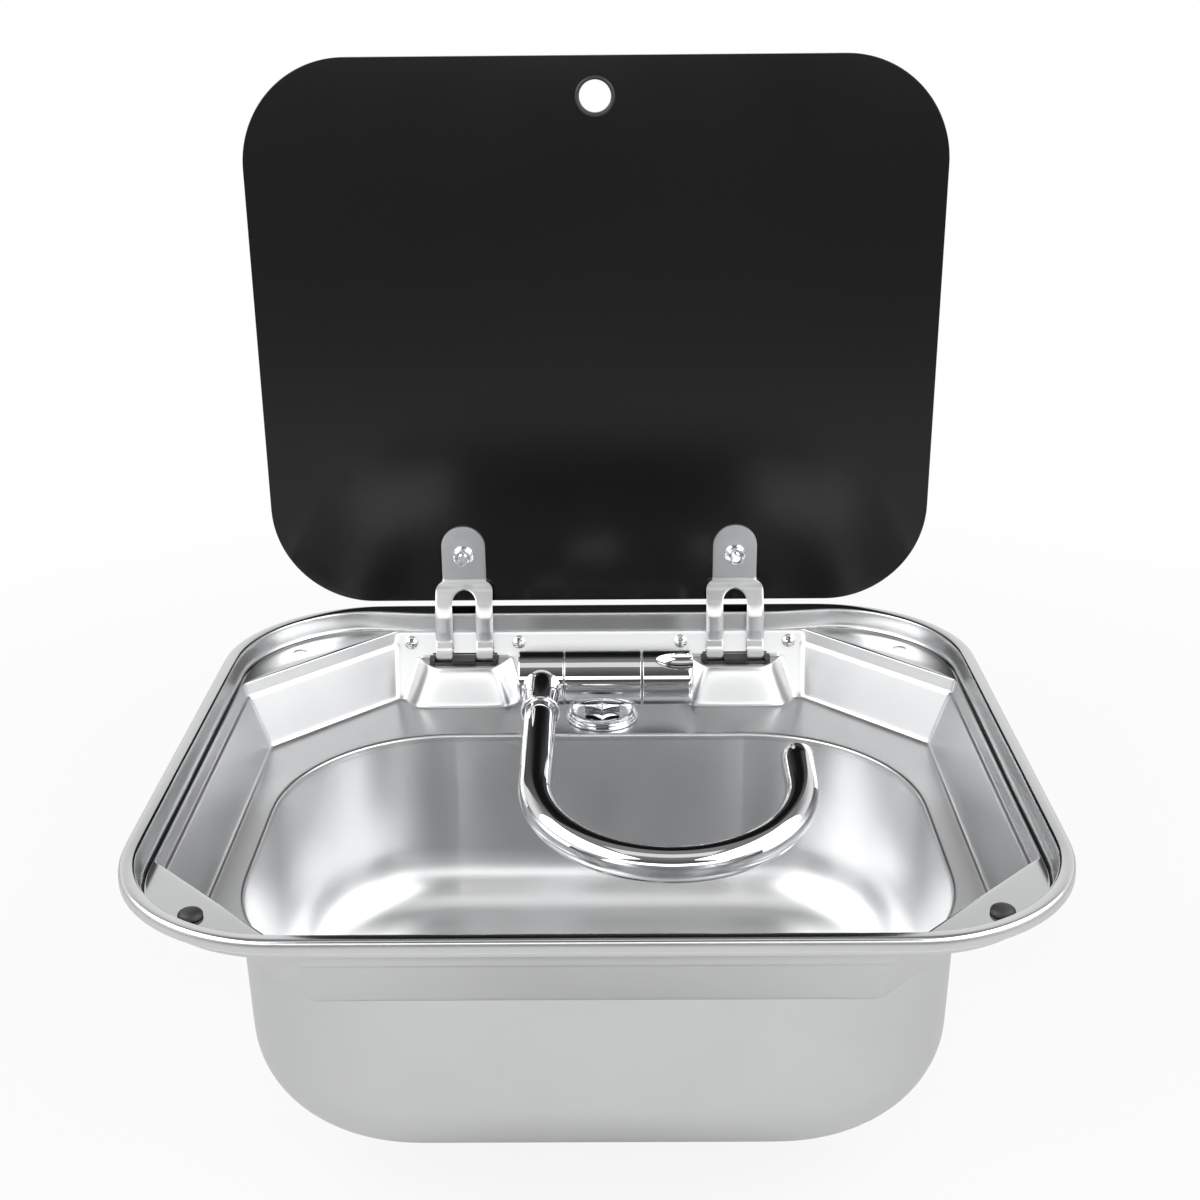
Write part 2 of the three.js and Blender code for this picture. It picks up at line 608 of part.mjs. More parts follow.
function cartridgeGeometry() {
  const { radius, stem, seat, collar } = CARTRIDGE;
  const [bore, shoulder, end] = [stem + GAP + 0.1, BODY.right - GAP, BODY.right + 0.4];
  return alongX(turned([
    [bore, seat], [radius, seat], [radius, shoulder], [collar, shoulder], [collar, end], [bore, end],
  ], 14));
}
const valveStemGeometry = () => alongX(disc(CARTRIDGE.stem, CARTRIDGE.seat + 0.4, CARTRIDGE.stemEnd, 12));

/** The turning knob, with a thumb recess scooped out of its upper front. */
function knobGeometry() {
  const { left, right } = KNOB;
  const r = TAP.radius;
  const bore = CARTRIDGE.stem + GAP;
  const cup = alongX(turned([
    [bore, left + 0.2], [r - 0.5, left + 0.2], [r, left + 0.7], [r, right - 3], [r - 0.9, right - 1.2],
    [r - 3, right], [bore, right],
  ], 24));
  const end = alongX(disc(bore + 0.8, CARTRIDGE.stemEnd + 0.4, right, 12));
  const recess = new THREE.SphereGeometry(1, 10, 8).scale(THUMB.along, THUMB.across, THUMB.across);
  const angle = THUMB.angle * DEG;
  recess.translate(THUMB.x, -THUMB.reach * Math.cos(angle), THUMB.reach * Math.sin(angle));
  return cut(join(cup, end), recess);
}

// The arm and the spout are drawn level, pointing to -Y from the tap's axis, and then dipped.

/** The knuckle that folds on the tap body, with the sleeve that carries the spout. */
function knuckleGeometry() {
  const { left, right, sleeveX, sleeveRadius, sleeveEnd } = KNUCKLE;
  const r = TAP.radius;
  const barrel = alongX(turnedSolid([
    [0, left], [r - 1.4, left], [r, left + 1.2], [r, right - 0.5], [r - 0.5, right], [0, right],
  ], 24));
  const sleeve = alongMinusY(turnedSolid([
    [0, 0], [sleeveRadius, 0], [sleeveRadius, sleeveEnd - 2.2], [sleeveRadius + 0.5, sleeveEnd - 1.6],
    [sleeveRadius + 0.5, sleeveEnd - 0.4], [sleeveRadius, sleeveEnd], [0, sleeveEnd],
  ], 18)).translate(sleeveX, 0, 0);
  const pivotBore = alongX(disc(BODY.spigot + GAP, BODY.left - BODY.spigotLength - 0.5, right + 1, 16));
  const spoutBore = alongMinusY(disc(SPOUT.spigot + GAP, SPOUT.spigotStart - 1, sleeveEnd + 1, 16));
  spoutBore.translate(sleeveX, 0, 0);
  return cut(join(barrel, sleeve), pivotBore, spoutBore);
}

/** A round bar or bore along the spout's path: straight, half a turn, and back to the mouth. */
function spoutBar(radius, start, end, sides) {
  const { bendRadius, bendStart } = SPOUT;
  const centreX = KNUCKLE.sleeveX + bendRadius;
  const turnSteps = 14;
  const stations = [{ x: KNUCKLE.sleeveX, y: -start, angle: 0 }];
  for (let i = 0; i <= turnSteps; i++) {
    const angle = (i / turnSteps) * Math.PI;
    const x = centreX - bendRadius * Math.cos(angle);
    stations.push({ x, y: -bendStart - bendRadius * Math.sin(angle), angle });
  }
  stations.push({ x: centreX + bendRadius, y: -end, angle: Math.PI });
  const rings = stations.map(({ x, y, angle }) => {
    const across = new THREE.Vector2(Math.cos(angle), Math.sin(angle));
    return Array.from({ length: sides }, (_, i) => {
      const turn = (i / sides) * 2 * Math.PI;
      const reach = radius * Math.cos(turn);
      return [x - across.x * reach, y - across.y * reach, radius * Math.sin(turn)];
    });
  });
  return loft(rings, false);
}

function spoutGeometry() {
  const { radius, bore, mouth, spigot, spigotBore, spigotStart } = SPOUT;
  const start = KNUCKLE.sleeveEnd + GAP;
  const inSleeve = (size, low, high) =>
    alongMinusY(disc(size, low, high, 12)).translate(KNUCKLE.sleeveX, 0, 0);
  const bar = join(spoutBar(radius, start, mouth, 14), inSleeve(spigot, spigotStart, start + 3));
  const bentBore = spoutBar(bore, start + 4, mouth - 2, 8);
  return cut(bar, bentBore, inSleeve(spigotBore, spigotStart - 1, start + 6));
}

// ---------------------------------------------------------------- waste

function wasteFlangeGeometry() {
  const { flange, tube, bore, seatBore, outletZ, strainerZ } = WASTE;
  const [seat, top] = [DRAIN.seatZ + GAP, DRAIN.seatZ + 2];
  return turned([
    [seatBore + 0.6, top - 1.1], [seatBore + 2, top - 0.2], [flange - 4, top], [flange - 0.4, top - 0.5],
    [flange, seat], [tube, seat], [tube, outletZ], [bore, outletZ], [bore, strainerZ], [seatBore, strainerZ],
  ], 20);
}

function strainerGeometry() {
  const { seatBore, strainerZ, strainerHole, strainerPitch } = WASTE;
  const low = strainerZ + GAP;
  const holes = Array.from({ length: 7 }, (_, i) => {
    const reach = i ? strainerPitch : 0;
    const [x, y] = [reach * Math.cos(i * 60 * DEG), reach * Math.sin(i * 60 * DEG)];
    return disc(strainerHole, low - 2, low + 4, 6).translate(x, y, 0);
  });
  return cut(disc(seatBore - GAP, low, low + 1.5, 16), ...holes);
}

/** A tapered rubber plug with a lip that seals on the flange and a waisted knob to lift it by. */
function plugGeometry() {
  const lipZ = DRAIN.seatZ + 2 + GAP;
  return turnedSolid([
    [0, lipZ - 8.9], [14.9, lipZ - 8.9], [16.6, lipZ - 1.1], [20.4, lipZ + 0.5], [20.4, lipZ + 1.9],
    [18, lipZ + 2.9], [5.2, lipZ + 3.3], [2.7, lipZ + 5.1], [2.7, lipZ + 7.9], [5.2, lipZ + 9.5],
    [4.8, lipZ + 11.9], [0, lipZ + 12.7],
  ], 16);
}

// ---------------------------------------------------------------- assembly

const sink = new THREE.Group();

function add(name, geometry, material, parent = sink) {
  geometry.computeVertexNormals();
  const mesh = new THREE.Mesh(geometry, material);
  mesh.name = name;
  parent.add(mesh);
  return mesh;
}

add('tray', trayGeometry(), satinSteel);
add('bowl', bowlGeometry(), satinSteel);
add('rim_seal', sealGeometry(), paleSeal);

for (const [name, side] of [['left', -1], ['right', 1]]) {
  add(`bumper_${name}`, bumperGeometry(), blackRubber).position.set(side * BUMPER.x, BUMPER.y, LEDGE_Z);

  const x = side * HINGE.x;
  const { pivotY, pivotZ, pinRadius, pinLength } = HINGE;
  const pin = alongX(disc(pinRadius, -pinLength / 2, pinLength / 2, 12));
  add(`hinge_block_${name}`, hingeBlockGeometry(), blackPlastic).position.x = x;
  add(`hinge_pin_${name}`, pin, zincSteel).position.set(x, pivotY, pivotZ);
  add(`hinge_leaf_${name}`, hingeLeafGeometry(), satinSteel).position.x = x;
  onBackWall(add(`hinge_bracket_${name}`, hingeBracketGeometry(), zincSteel), x, HINGE.screwZ);
  for (const [place, offset] of [['outer', side], ['inner', -side]]) {
    const screwX = x + offset * HINGE.screwOffset;
    const nutTop = -SHEET - BRACKET.thickness - 2 * GAP;
    const nut = hexNut(SCREW.nutFlats, SCREW.radius + GAP, nutTop - SCREW.nutHeight, nutTop);
    onBackWall(add(`hinge_screw_${name}_${place}`, screwGeometry(), chrome), screwX, HINGE.screwZ);
    onBackWall(add(`hinge_nut_${name}_${place}`, nut, zincSteel), screwX, HINGE.screwZ);
  }

  const fixings = new THREE.Group();
  fixings.position.set(x, LID.front, LEAF.boltZ);
  fixings.rotation.x = 90 * DEG;
  sink.add(fixings);
  add(`lid_bolt_${name}`, lidBoltGeometry(), chrome, fixings);
  add(`lid_washer_${name}`, lidWasherGeometry(), blackRubber, fixings);
  add(`lid_nut_${name}`, flangeNutGeometry(), chrome, fixings);
}

add('lid_glass', glassGeometry(), blackGlass);
const grommet = add('lid_grommet', grommetGeometry(), blackRubber);
grommet.position.set(0, LID.front + LID.thickness / 2, LID.fingerZ);
grommet.rotation.x = 90 * DEG;

const tap = new THREE.Group();
tap.position.y = TAP.y;
sink.add(tap);
add('tap_base_ring', baseRingGeometry(), chrome, tap).position.x = BODY.neckX;
add('tap_body', tapBodyGeometry(), chrome, tap);
const shankBore = BODY.shankRadius + GAP;
const gasketTop = DECK_Z - SHEET - GAP;
const washerTop = gasketTop - UNDER_DECK.gasketHeight - GAP;
const lockNutTop = washerTop - UNDER_DECK.washerHeight - GAP;
const gasket = ring(UNDER_DECK.gasket, shankBore, gasketTop - UNDER_DECK.gasketHeight, gasketTop, 16);
const washer = ring(UNDER_DECK.washer, shankBore, washerTop - UNDER_DECK.washerHeight, washerTop, 16);
const lockNut = hexNut(UNDER_DECK.nutFlats, shankBore, lockNutTop - UNDER_DECK.nutHeight, lockNutTop, 9);
add('tap_gasket', gasket, blackRubber, tap).position.x = BODY.neckX;
add('tap_washer', washer, zincSteel, tap).position.x = BODY.neckX;
add('tap_lock_nut', lockNut, brass, tap).position.x = BODY.neckX;
add('tap_cartridge', cartridgeGeometry(), brass, tap).position.z = TAP.z;
add('tap_valve_stem', valveStemGeometry(), brass, tap).position.z = TAP.z;
add('tap_knob', knobGeometry(), chrome, tap).position.z = TAP.z;

const arm = new THREE.Group();
arm.position.z = TAP.z;
arm.rotation.x = TAP.dip * DEG;
tap.add(arm);
add('tap_knuckle', knuckleGeometry(), chrome, arm);
add('spout', spoutGeometry(), chrome, arm);

const waste = new THREE.Group();
waste.position.set(DRAIN.x, DRAIN.y, 0);
sink.add(waste);
const sealTop = DRAIN.seatZ - SHEET - GAP;
const wasteNutTop = sealTop - WASTE.sealHeight - GAP;
const tubeBore = WASTE.tube + GAP;
const wasteSeal = ring(WASTE.sealRadius, tubeBore, sealTop - WASTE.sealHeight, sealTop, 20);
const wasteNut = hexNut(WASTE.nutFlats, tubeBore, wasteNutTop - WASTE.nutHeight, wasteNutTop, 10);
add('waste_flange', wasteFlangeGeometry(), satinSteel, waste);
add('waste_strainer', strainerGeometry(), satinSteel, waste);
add('waste_seal', wasteSeal, blackRubber, waste);
add('waste_lock_nut', wasteNut, whitePlastic, waste);
add('waste_plug', plugGeometry(), blackRubber, waste);

export default sink;
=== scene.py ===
"""Drop-in sink with a hinged glass lid and a folding tap: fine meshes, finishes, light and camera."""

from math import atan2, copysign, cos, pi, radians, sin, sqrt, tan

import bmesh
import bpy
from mathutils import Matrix, Vector


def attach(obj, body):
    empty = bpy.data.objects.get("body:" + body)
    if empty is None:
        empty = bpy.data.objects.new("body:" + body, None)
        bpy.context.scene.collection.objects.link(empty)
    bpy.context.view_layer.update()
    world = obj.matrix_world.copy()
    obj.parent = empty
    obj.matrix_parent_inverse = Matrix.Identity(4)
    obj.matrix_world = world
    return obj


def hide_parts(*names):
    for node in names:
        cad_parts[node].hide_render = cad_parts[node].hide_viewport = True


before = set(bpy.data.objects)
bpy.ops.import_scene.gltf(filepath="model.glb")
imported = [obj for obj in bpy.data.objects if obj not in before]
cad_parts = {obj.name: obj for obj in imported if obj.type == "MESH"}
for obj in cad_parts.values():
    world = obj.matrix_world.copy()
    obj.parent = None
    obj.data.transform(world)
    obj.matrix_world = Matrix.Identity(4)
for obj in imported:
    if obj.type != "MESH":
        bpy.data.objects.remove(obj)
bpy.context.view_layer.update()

# -------- driving dimensions, in millimetres

MM = 0.001
GAP = 0.3
SHEET = 1.0
SIDES = (("left", -1), ("right", 1))

RIM = {"half_width": 210, "half_depth": 185, "radius": 80.7}
FLAT_BACK = (95, 165)  # half widths between which the wide, flat back of the rim narrows to its bead
LEDGE_Z = -6.5
DECK_Z = -44.0
POLISHED = {"z": -7, "up": 0.6}  # above this height, faces of the tray that look up so much are polished
STEEP = 0.5  # the normals of the bowl's walls point up or down by less than this
WALL_TOP = (174.2, -7.5)
WALL_SLOPE = 0.461
WALLS = {  # the side and front walls: half width and front edge where their slope starts and ends
    "top": -14.7, "top_x": 196, "top_front": -168.8, "foot": -40.5, "foot_x": 186.6, "foot_front": -153.2,
}
CUT_CORNER = {"radius": 6, "ledge": 77, "deck": 64}  # the recess's 45 degree corners, longer at the ledges
BOWL = {"x": 170, "front": -136.5, "back": 108, "radius": 87, "clearance": 1.3, "flange": 5.5}
BOWL_FLOOR = {"z": -150, "radius": 38, "draft": radians(1.2), "wall_top": -48}
DRAIN = {"x": 0, "y": -10, "recess": 29.5, "hole": 20, "floor_z": -151.4, "seat_z": -153.4}
BUMPER = {"x": 172, "y": -144.5, "radius": 5.4, "height": 3.4, "hole": 2.8}
LEDGE_HOLE = {"x": 175, "y": 143, "radius": 4}

HINGE = {
    "x": 81, "pivot_y": 167.2, "pivot_z": -20.4, "pin": 1.5, "box_top": -21.5, "pad_top": -19,
    "window_front": 158.6, "window_back": 176, "window_low": -30, "window_half": 19.5,
    "leg_window_top": -15.4, "pad_half": 20.6, "screw_offset": 32.4, "screw_z": -13, "screw_hole": 2.3,
}
BOX = {"foot_half": 27.6, "top_half": 19.4, "foot_front": 144.9, "top_front": 153, "draft": 7}
LEAF = {
    "thickness": 1.6, "tab_half": 13, "tab_top": 56.4, "tab_y": 184.1, "bend_z": 21.6, "shoulder_z": 17,
    "leg_outer": 16.95, "leg_inner": 7.25, "arch_z": 10.6, "bolt_z": 38.3, "bolt_hole": 3.3,
    "crown": 1.0, "crown_low": -11.5, "eye_turn": radians(285),
}
LEAF["straight_top"] = LEAF["tab_top"] - LEAF["tab_half"]
LID = {
    "half_width": 194, "bottom": 8.7, "top": 322, "front": 185, "thickness": 5, "radius": 58.5,
    "arris": 0.6, "finger_z": 300.8, "finger_hole": 10.3, "bolt_hole": 3.4,
}
TAP = {"y": 132.3, "z": -19.1, "radius": 15.9, "dip": radians(6.5)}
KNUCKLE = {"left": -47, "right": -20.4, "sleeve_x": -33, "sleeve": 10.5, "sleeve_end": 39.5}
BODY = {"left": -20, "right": 24, "neck_x": 1.5, "flats": 20.1, "shank": 9, "shank_end": -84}
KNOB = {"left": 24.7, "right": 54}
THUMB = {"x": 47, "reach": 18.8, "lift": radians(62), "along": 15.5, "across": 6.9}
SPOUT = {"radius": 9, "bore": 7.7, "bend": 69.5, "bend_start": 110.5, "mouth": 85}

CORNER = 16  # points on each corner of a pressed outline, an even number

# -------- mesh helpers


def add_object(name, data):
    """A new object in the scene for a mesh, a camera or a lamp."""
    made = bpy.data.objects.new(name, data)
    bpy.context.scene.collection.objects.link(made)
    return made


def hand_over(name, work):
    """An object made of a bmesh, which is freed."""
    mesh = bpy.data.meshes.new(name)
    work.to_mesh(mesh)
    work.free()
    return add_object(name, mesh)


def weld(mesh, distance):
    """Joins points that are closer than a distance in metres, and turns the faces outward."""
    work = bmesh.new()
    work.from_mesh(mesh)
    bmesh.ops.remove_doubles(work, verts=work.verts, dist=distance)
    bmesh.ops.dissolve_degenerate(work, edges=work.edges, dist=1e-8)
    bmesh.ops.recalc_face_normals(work, faces=work.faces)
    work.to_mesh(mesh)
    work.free()


def new_piece(name, points, faces):
    """An object from points in millimetres, with its doubled points welded."""
    mesh = bpy.data.meshes.new(name)
    mesh.from_pydata([Vector(point) * MM for point in points], [], faces)
    weld(mesh, 1e-7)
    return add_object(name, mesh)


def grid(name, rings, wrap_rings=False, wrap_points=True):
    """Quads through equal rings of points, joined in order."""
    count = len(rings[0])
    faces = []
    for i in range(len(rings) if wrap_rings else len(rings) - 1):
        below, above = i * count, (i + 1) % len(rings) * count
        for j in range(count if wrap_points else count - 1):
            k = (j + 1) % count
            faces.append((below + j, below + k, above + k, above + j))
    return new_piece(name, [point for ring in rings for point in ring], faces)


def settle(piece):
    """Replaces the piece's mesh by what its modifiers make of it."""
    depsgraph = bpy.context.evaluated_depsgraph_get()
    mesh = bpy.data.meshes.new_from_object(piece.evaluated_get(depsgraph))
    piece.modifiers.clear()
    piece.data = mesh
    return piece


def modify(piece, kind, **settings):
    modifier = piece.modifiers.new(kind.lower(), kind)
    for key, value in settings.items():
        setattr(modifier, key, value)


def soften(piece, width, segments=2, angle=40):
    """Rounds edges that are sharper than an angle, by a modifier."""
    modify(
        piece, "BEVEL", width=width * MM, segments=segments, limit_method="ANGLE",
        angle_limit=radians(angle), harden_normals=False,
    )


def bevel(piece, width, segments=3, angle=40):
    soften(piece, width, segments, angle)
    return settle(piece)


def boolean(piece, operation, tools):
    """Cuts the piece with each tool, or down to it, and removes the tool."""
    for tool in tools:
        modify(piece, "BOOLEAN", operation=operation, solver="EXACT", object=tool)
        settle(piece)
        bpy.data.objects.remove(tool)


def join(name, parts):
    """One object that holds the meshes of several."""
    work = bmesh.new()
    for part in parts:
        work.from_mesh(part.data)
        bpy.data.objects.remove(part)
    return hand_over(name, work)


def place(piece, matrix):
    """Moves the piece's mesh by a matrix whose translation is in millimetres."""
    move = matrix.copy()
    move.translation *= MM
    piece.data.transform(move)
    return piece


def shift(x, y, z):
    return Matrix.Translation((x, y, z))


def turn(degrees, axis):
    return Matrix.Rotation(radians(degrees), 4, axis)


ALONG_X = turn(90, "Y")
ALONG_MINUS_Y = turn(90, "X")


def full_turn(count):
    """Even angles of a whole turn."""
    return [2 * pi * i / count for i in range(count)]


def quarter_turn(count):
    """Even angles from 0 to a right angle."""
    return [i / count * pi / 2 for i in range(count + 1)]


def polar(radius, angle, x=0, y=0):
    return x + radius * cos(angle), y + radius * sin(angle)


def lathe(name, profile, segments=96, closed=False):
    """A round piece about +Z from (radius, height) points; a closed profile has a bore."""
    angles = full_turn(segments)
    rings = [[(*polar(radius, angle), height) for angle in angles] for radius, height in profile]
    return grid(name, rings, wrap_rings=closed)


def rod(name, radius, low, high, segments=48):
    return lathe(name, [(0, low), (radius, low), (radius, high), (0, high)], segments)


def prism(name, loop, low, high, holes=()):
    """A flat outline in X and Y, with holes, given thickness along Z."""
    work = bmesh.new()
    for points in (loop, *holes):
        corners = [work.verts.new(Vector((x, y, low)) * MM) for x, y in points]
        for i, corner in enumerate(corners):
            work.edges.new((corner, corners[(i + 1) % len(corners)]))
    bmesh.ops.triangle_fill(work, use_beauty=True, use_dissolve=True, edges=work.edges)
    top = bmesh.ops.extrude_face_region(work, geom=work.faces[:])["geom"]
    moved = [item for item in top if isinstance(item, bmesh.types.BMVert)]
    bmesh.ops.translate(work, verts=moved, vec=(0, 0, (high - low) * MM))
    bmesh.ops.recalc_face_normals(work, faces=work.faces)
    return hand_over(name, work)


def block(name, x0, x1, y0, y1, z0, z1):
    return prism(name, [(x0, y0), (x1, y0), (x1, y1), (x0, y1)], z0, z1)


def circle(x, y, radius, segments=48):
    return [polar(radius, angle, x, y) for angle in full_turn(segments)]


def rounded_rectangle(x0, x1, y0, y1, radius, steps):
    """Anticlockwise points of a rectangle with round corners."""
    centres = [(x1 - radius, y1 - radius), (x0 + radius, y1 - radius)]
    centres += [(x0 + radius, y0 + radius), (x1 - radius, y0 + radius)]
    points = []
    for quarter, (x, y) in enumerate(centres):
        for i in range(steps + 1):
            points.append(polar(radius, (quarter + i / steps) * pi / 2, x, y))
    return points


def hexagon(across_flats, turn_degrees):
    reach = across_flats / sqrt(3)
    return [polar(reach, radians(60 * i + turn_degrees)) for i in range(6)]


def between(a, b, share):
    return a + (b - a) * share


def clamp(share):
    return min(max(share, 0), 1)


def blend_rings(first, second, share):
    return [tuple(between(a, b, share) for a, b in zip(p, q)) for p, q in zip(first, second)]


# -------- finishes


def feed(tree, made, inputs):
    """Sets a node's inputs, by name or number, and links those whose value is a socket."""
    for key, value in inputs.items():
        if isinstance(value, bpy.types.NodeSocket):
            tree.links.new(value, made.inputs[key])
        else:
            made.inputs[key].default_value = value


def node(tree, kind, inputs=(), **settings):
    """The outputs of a new shader node."""
    made = tree.nodes.new("ShaderNode" + kind)
    for key, value in settings.items():
        setattr(made, key, value)
    feed(tree, made, dict(inputs))
    return made.outputs


def noise(tree, scale, detail, stretch=(1, 1, 1)):
    """Noise over the piece's own coordinates, in cycles for each metre."""
    where = node(tree, "TexCoord")["Object"]
    stretched = node(tree, "Mapping", {"Vector": where, "Scale": stretch})[0]
    return node(tree, "TexNoise", {"Vector": stretched, "Scale": scale, "Detail": detail})[0]


def map_range(tree, value, start, end, low, high, kind="LINEAR"):
    """A change of level from low to high as a value goes from start to end."""
    return node(tree, "MapRange", enumerate((value, start, end, low, high)), interpolation_type=kind)[0]


def spread(tree, value, low, high):
    """Maps the middle of a noise value onto a range."""
    return map_range(tree, value, 0.3, 0.7, low, high)


FINISHES = {}


def surface(name, colour, roughness, vary, bump, stretch=(1, 1, 1), **constants):
    """Makes a finish: colour and roughness vary a little with broad noise, and fine layers add relief.

    vary is (noise scale, colour share, roughness change); a bump is (noise scale, detail, strength, height).
    """
    material = bpy.data.materials.new(name)
    material.use_nodes = True
    tree = material.node_tree
    scale, colour_share, roughness_change = vary
    broad = noise(tree, scale, 4)
    dark = [channel * (1 - colour_share) for channel in colour]
    shades = {0: spread(tree, broad, 0, 1), 6: (*dark, 1), 7: (*colour, 1)}
    normal = None
    for scale, detail, strength, height in bump:
        fine = noise(tree, scale, detail, stretch)
        relief = {"Height": fine, "Strength": strength, "Distance": height * MM}
        if normal:
            relief["Normal"] = normal
        normal = node(tree, "Bump", relief)[0]
    feed(tree, tree.nodes["Principled BSDF"], {
        "Base Color": node(tree, "Mix", shades, data_type="RGBA")[2],
        "Roughness": spread(tree, broad, roughness - roughness_change, roughness + roughness_change),
        "Normal": normal,
        **constants,
    })
    FINISHES[name] = material


SATIN_RELIEF = [(1300, 2, 0.16, 0.02), (420, 3, 0.08, 0.05)]

surface("satin_steel", (0.63, 0.635, 0.64), 0.31, (14, 0.06, 0.022), SATIN_RELIEF, Metallic=1.0)
# painted light: a lighter copy of the satin steel, for the bowl's faces that look up or inwards
surface("painted_lit_steel", (0.745, 0.75, 0.755), 0.31, (14, 0.06, 0.022), SATIN_RELIEF, Metallic=1.0)
surface("polished_steel", (0.64, 0.645, 0.65), 0.13, (14, 0.05, 0.02), [(500, 3, 0.05, 0.03)], Metallic=1.0)
surface("chrome", (0.7, 0.705, 0.715), 0.035, (40, 0.03, 0.012), [(60, 2, 0.03, 0.03)], Metallic=1.0)
surface("fastener_steel", (0.52, 0.53, 0.54), 0.34, (160, 0.14, 0.08), [(1800, 2, 0.2, 0.02)], Metallic=1.0)
surface("brass", (0.72, 0.55, 0.27), 0.26, (120, 0.12, 0.06), [(900, 2, 0.15, 0.02)], (1, 1, 8), Metallic=1.0)
surface("black_glass", (0.0045, 0.0045, 0.005), 0.16, (9, 0.1, 0.02), [(30, 2, 0.02, 0.02)], IOR=1.36)
surface("black_rubber", (0.022, 0.022, 0.023), 0.5, (90, 0.25, 0.08), [(1500, 3, 0.3, 0.03)], IOR=1.5)
surface("black_plastic", (0.016, 0.016, 0.017), 0.34, (110, 0.2, 0.05), [(2200, 2, 0.2, 0.02)], IOR=1.5)
surface("rim_seal", (0.78, 0.78, 0.76), 0.62, (70, 0.06, 0.06), [(1200, 2, 0.2, 0.03)], IOR=1.45)
surface("white_plastic", (0.76, 0.76, 0.74), 0.42, (60, 0.05, 0.05), [(1500, 2, 0.15, 0.02)], IOR=1.48)


def paint(piece, slot):
    piece.data.materials.clear()
    piece.data.materials.append(FINISHES[slot])


def paint_some(piece, slot, is_wanted):
    """Gives a second material to the faces that a test picks: a real finish, or a copy painted lighter."""
    piece.data.materials.append(FINISHES[slot])
    for polygon in piece.data.polygons:
        polygon.material_index = 1 if is_wanted(polygon) else 0


def dress(piece, cad_node, body, slot, sharp=40):
    """Gives a fine piece its finish and lets it stand for a node of the frame."""
    paint(piece, slot)
    piece.data.polygons.foreach_set("use_smooth", [True] * len(piece.data.polygons))
    piece.data.set_sharp_from_angle(angle=radians(sharp))
    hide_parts(cad_node)
    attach(piece, body)


def keep(cad_node, slot, edge):
    """Keeps a node of the frame, with its edges softened and its finish set."""
    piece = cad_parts[cad_node]
    paint(piece, slot)
    soften(piece, edge)


# -------- pressed tray


def wall_y(z):
    """Depth of the back wall's face at a height."""
    top_y, top_z = WALL_TOP
    return top_y - WALL_SLOPE * (top_z - z)


def corner_arc(quarter, x, edge_y, radius, chamfer):
    """One corner: a round one, or a 45 degree cut whose two ends are round."""
    set_back = chamfer + radius * (sqrt(2) - 1) if chamfer else radius
    side_x = 1 if quarter in (0, 3) else -1
    side_y = 1 if quarter < 2 else -1
    points = []
    for i in range(CORNER):
        angle = (quarter + i / (CORNER - 1)) * pi / 2
        near_side = abs(cos(angle)) > abs(sin(angle))
        centre_x = side_x * (x - (radius if near_side else set_back))
        centre_y = edge_y - side_y * (set_back if near_side else radius)
        points.append(polar(radius, angle, centre_x, centre_y))
    return points


def divide(start, end, count):
    """Even points along a straight edge, without its ends."""
    shares = [i / (count + 1) for i in range(1, count + 1)]
    return [(between(start[0], end[0], share), between(start[1], end[1], share)) for share in shares]


def box_share(z):
    """How far down a hinge box a height is, from 0 to 1."""
    return clamp((HINGE["box_top"] - z) / (HINGE["box_top"] - DECK_Z))


def box_front(z):
    return between(BOX["top_front"], BOX["foot_front"], box_share(z))


BOX_COLUMNS = (  # share of the box's side face from its front to the wall, and a step outward
    (1, 4.0), (1, 1.2), (0.84, 0.5), (0.3, 0), (0.07, -1.5), (0, -6),
)
MIDDLE_COLUMNS = (24, 0, -24)  # columns of the back edge between the two boxes


def back_columns(ring_z, back, end, box):
    """Columns along the back edge from +X to -X, brought forward where they cross the hinge boxes.

    box is (front of the ring on the box, its height, step outward), or None where the ring passes over.
    """
    front, z, grow = box if box else (back, ring_z, 0)
    half = between(BOX["top_half"], BOX["foot_half"], box_share(z)) + grow
    face = box_front(z) - grow
    marks = []
    for reach, step in BOX_COLUMNS:
        y = between(front, back, reach)
        depth = min((y - face) / (back - face), 1) if back > face else 1
        marks.append((half + step + BOX["draft"] * depth, y, ring_z if reach == 1 else z))
    marks.append((0, front, z))
    across = marks + [(-out, y, height) for out, y, height in reversed(marks[:-1])]
    columns = [(HINGE["x"] + out, y, height) for out, y, height in across]
    columns += [(x, back, ring_z) for x in MIDDLE_COLUMNS]
    columns += [(out - HINGE["x"], y, height) for out, y, height in across]
    if end < HINGE["x"] + HINGE["pad_half"]:  # a short edge draws all its columns together
        squeeze = 0.99 * end / columns[0][0]
        return [(x * squeeze, y, height) for x, y, height in columns]
    from_end, apart = 0.3, 0.6
    for i in range(3):  # a longer one keeps the outermost between the corners
        limit = end - from_end - apart * i
        for k, (x, y, height) in ((i, columns[i]), (-1 - i, columns[-1 - i])):
            columns[k] = (copysign(min(abs(x), limit), x), y, height)
    return columns


def pressed_ring(x, front, back, radius, z, chamfer=0, box=None):
    """A whole outline at one height, anticlockwise from the back right corner."""
    corners = [corner_arc(q, x, back if q < 2 else front, radius, chamfer) for q in range(4)]
    ring = [(px, py, z) for px, py in corners[0]]
    ring += back_columns(z, back, corners[0][-1][0], box)
    for quarter, count in ((1, 7), (2, 9), (3, 7)):
        ring += [(px, py, z) for px, py in corners[quarter]]
        following = corners[(quarter + 1) % 4][0]
        ring += [(px, py, z) for px, py in divide(corners[quarter][-1], following, count)]
    return ring


def rim_ring(inset, z):
    return pressed_ring(
        RIM["half_width"] - inset, inset - RIM["half_depth"], RIM["half_depth"] - inset,
        RIM["radius"] - inset, z,
    )


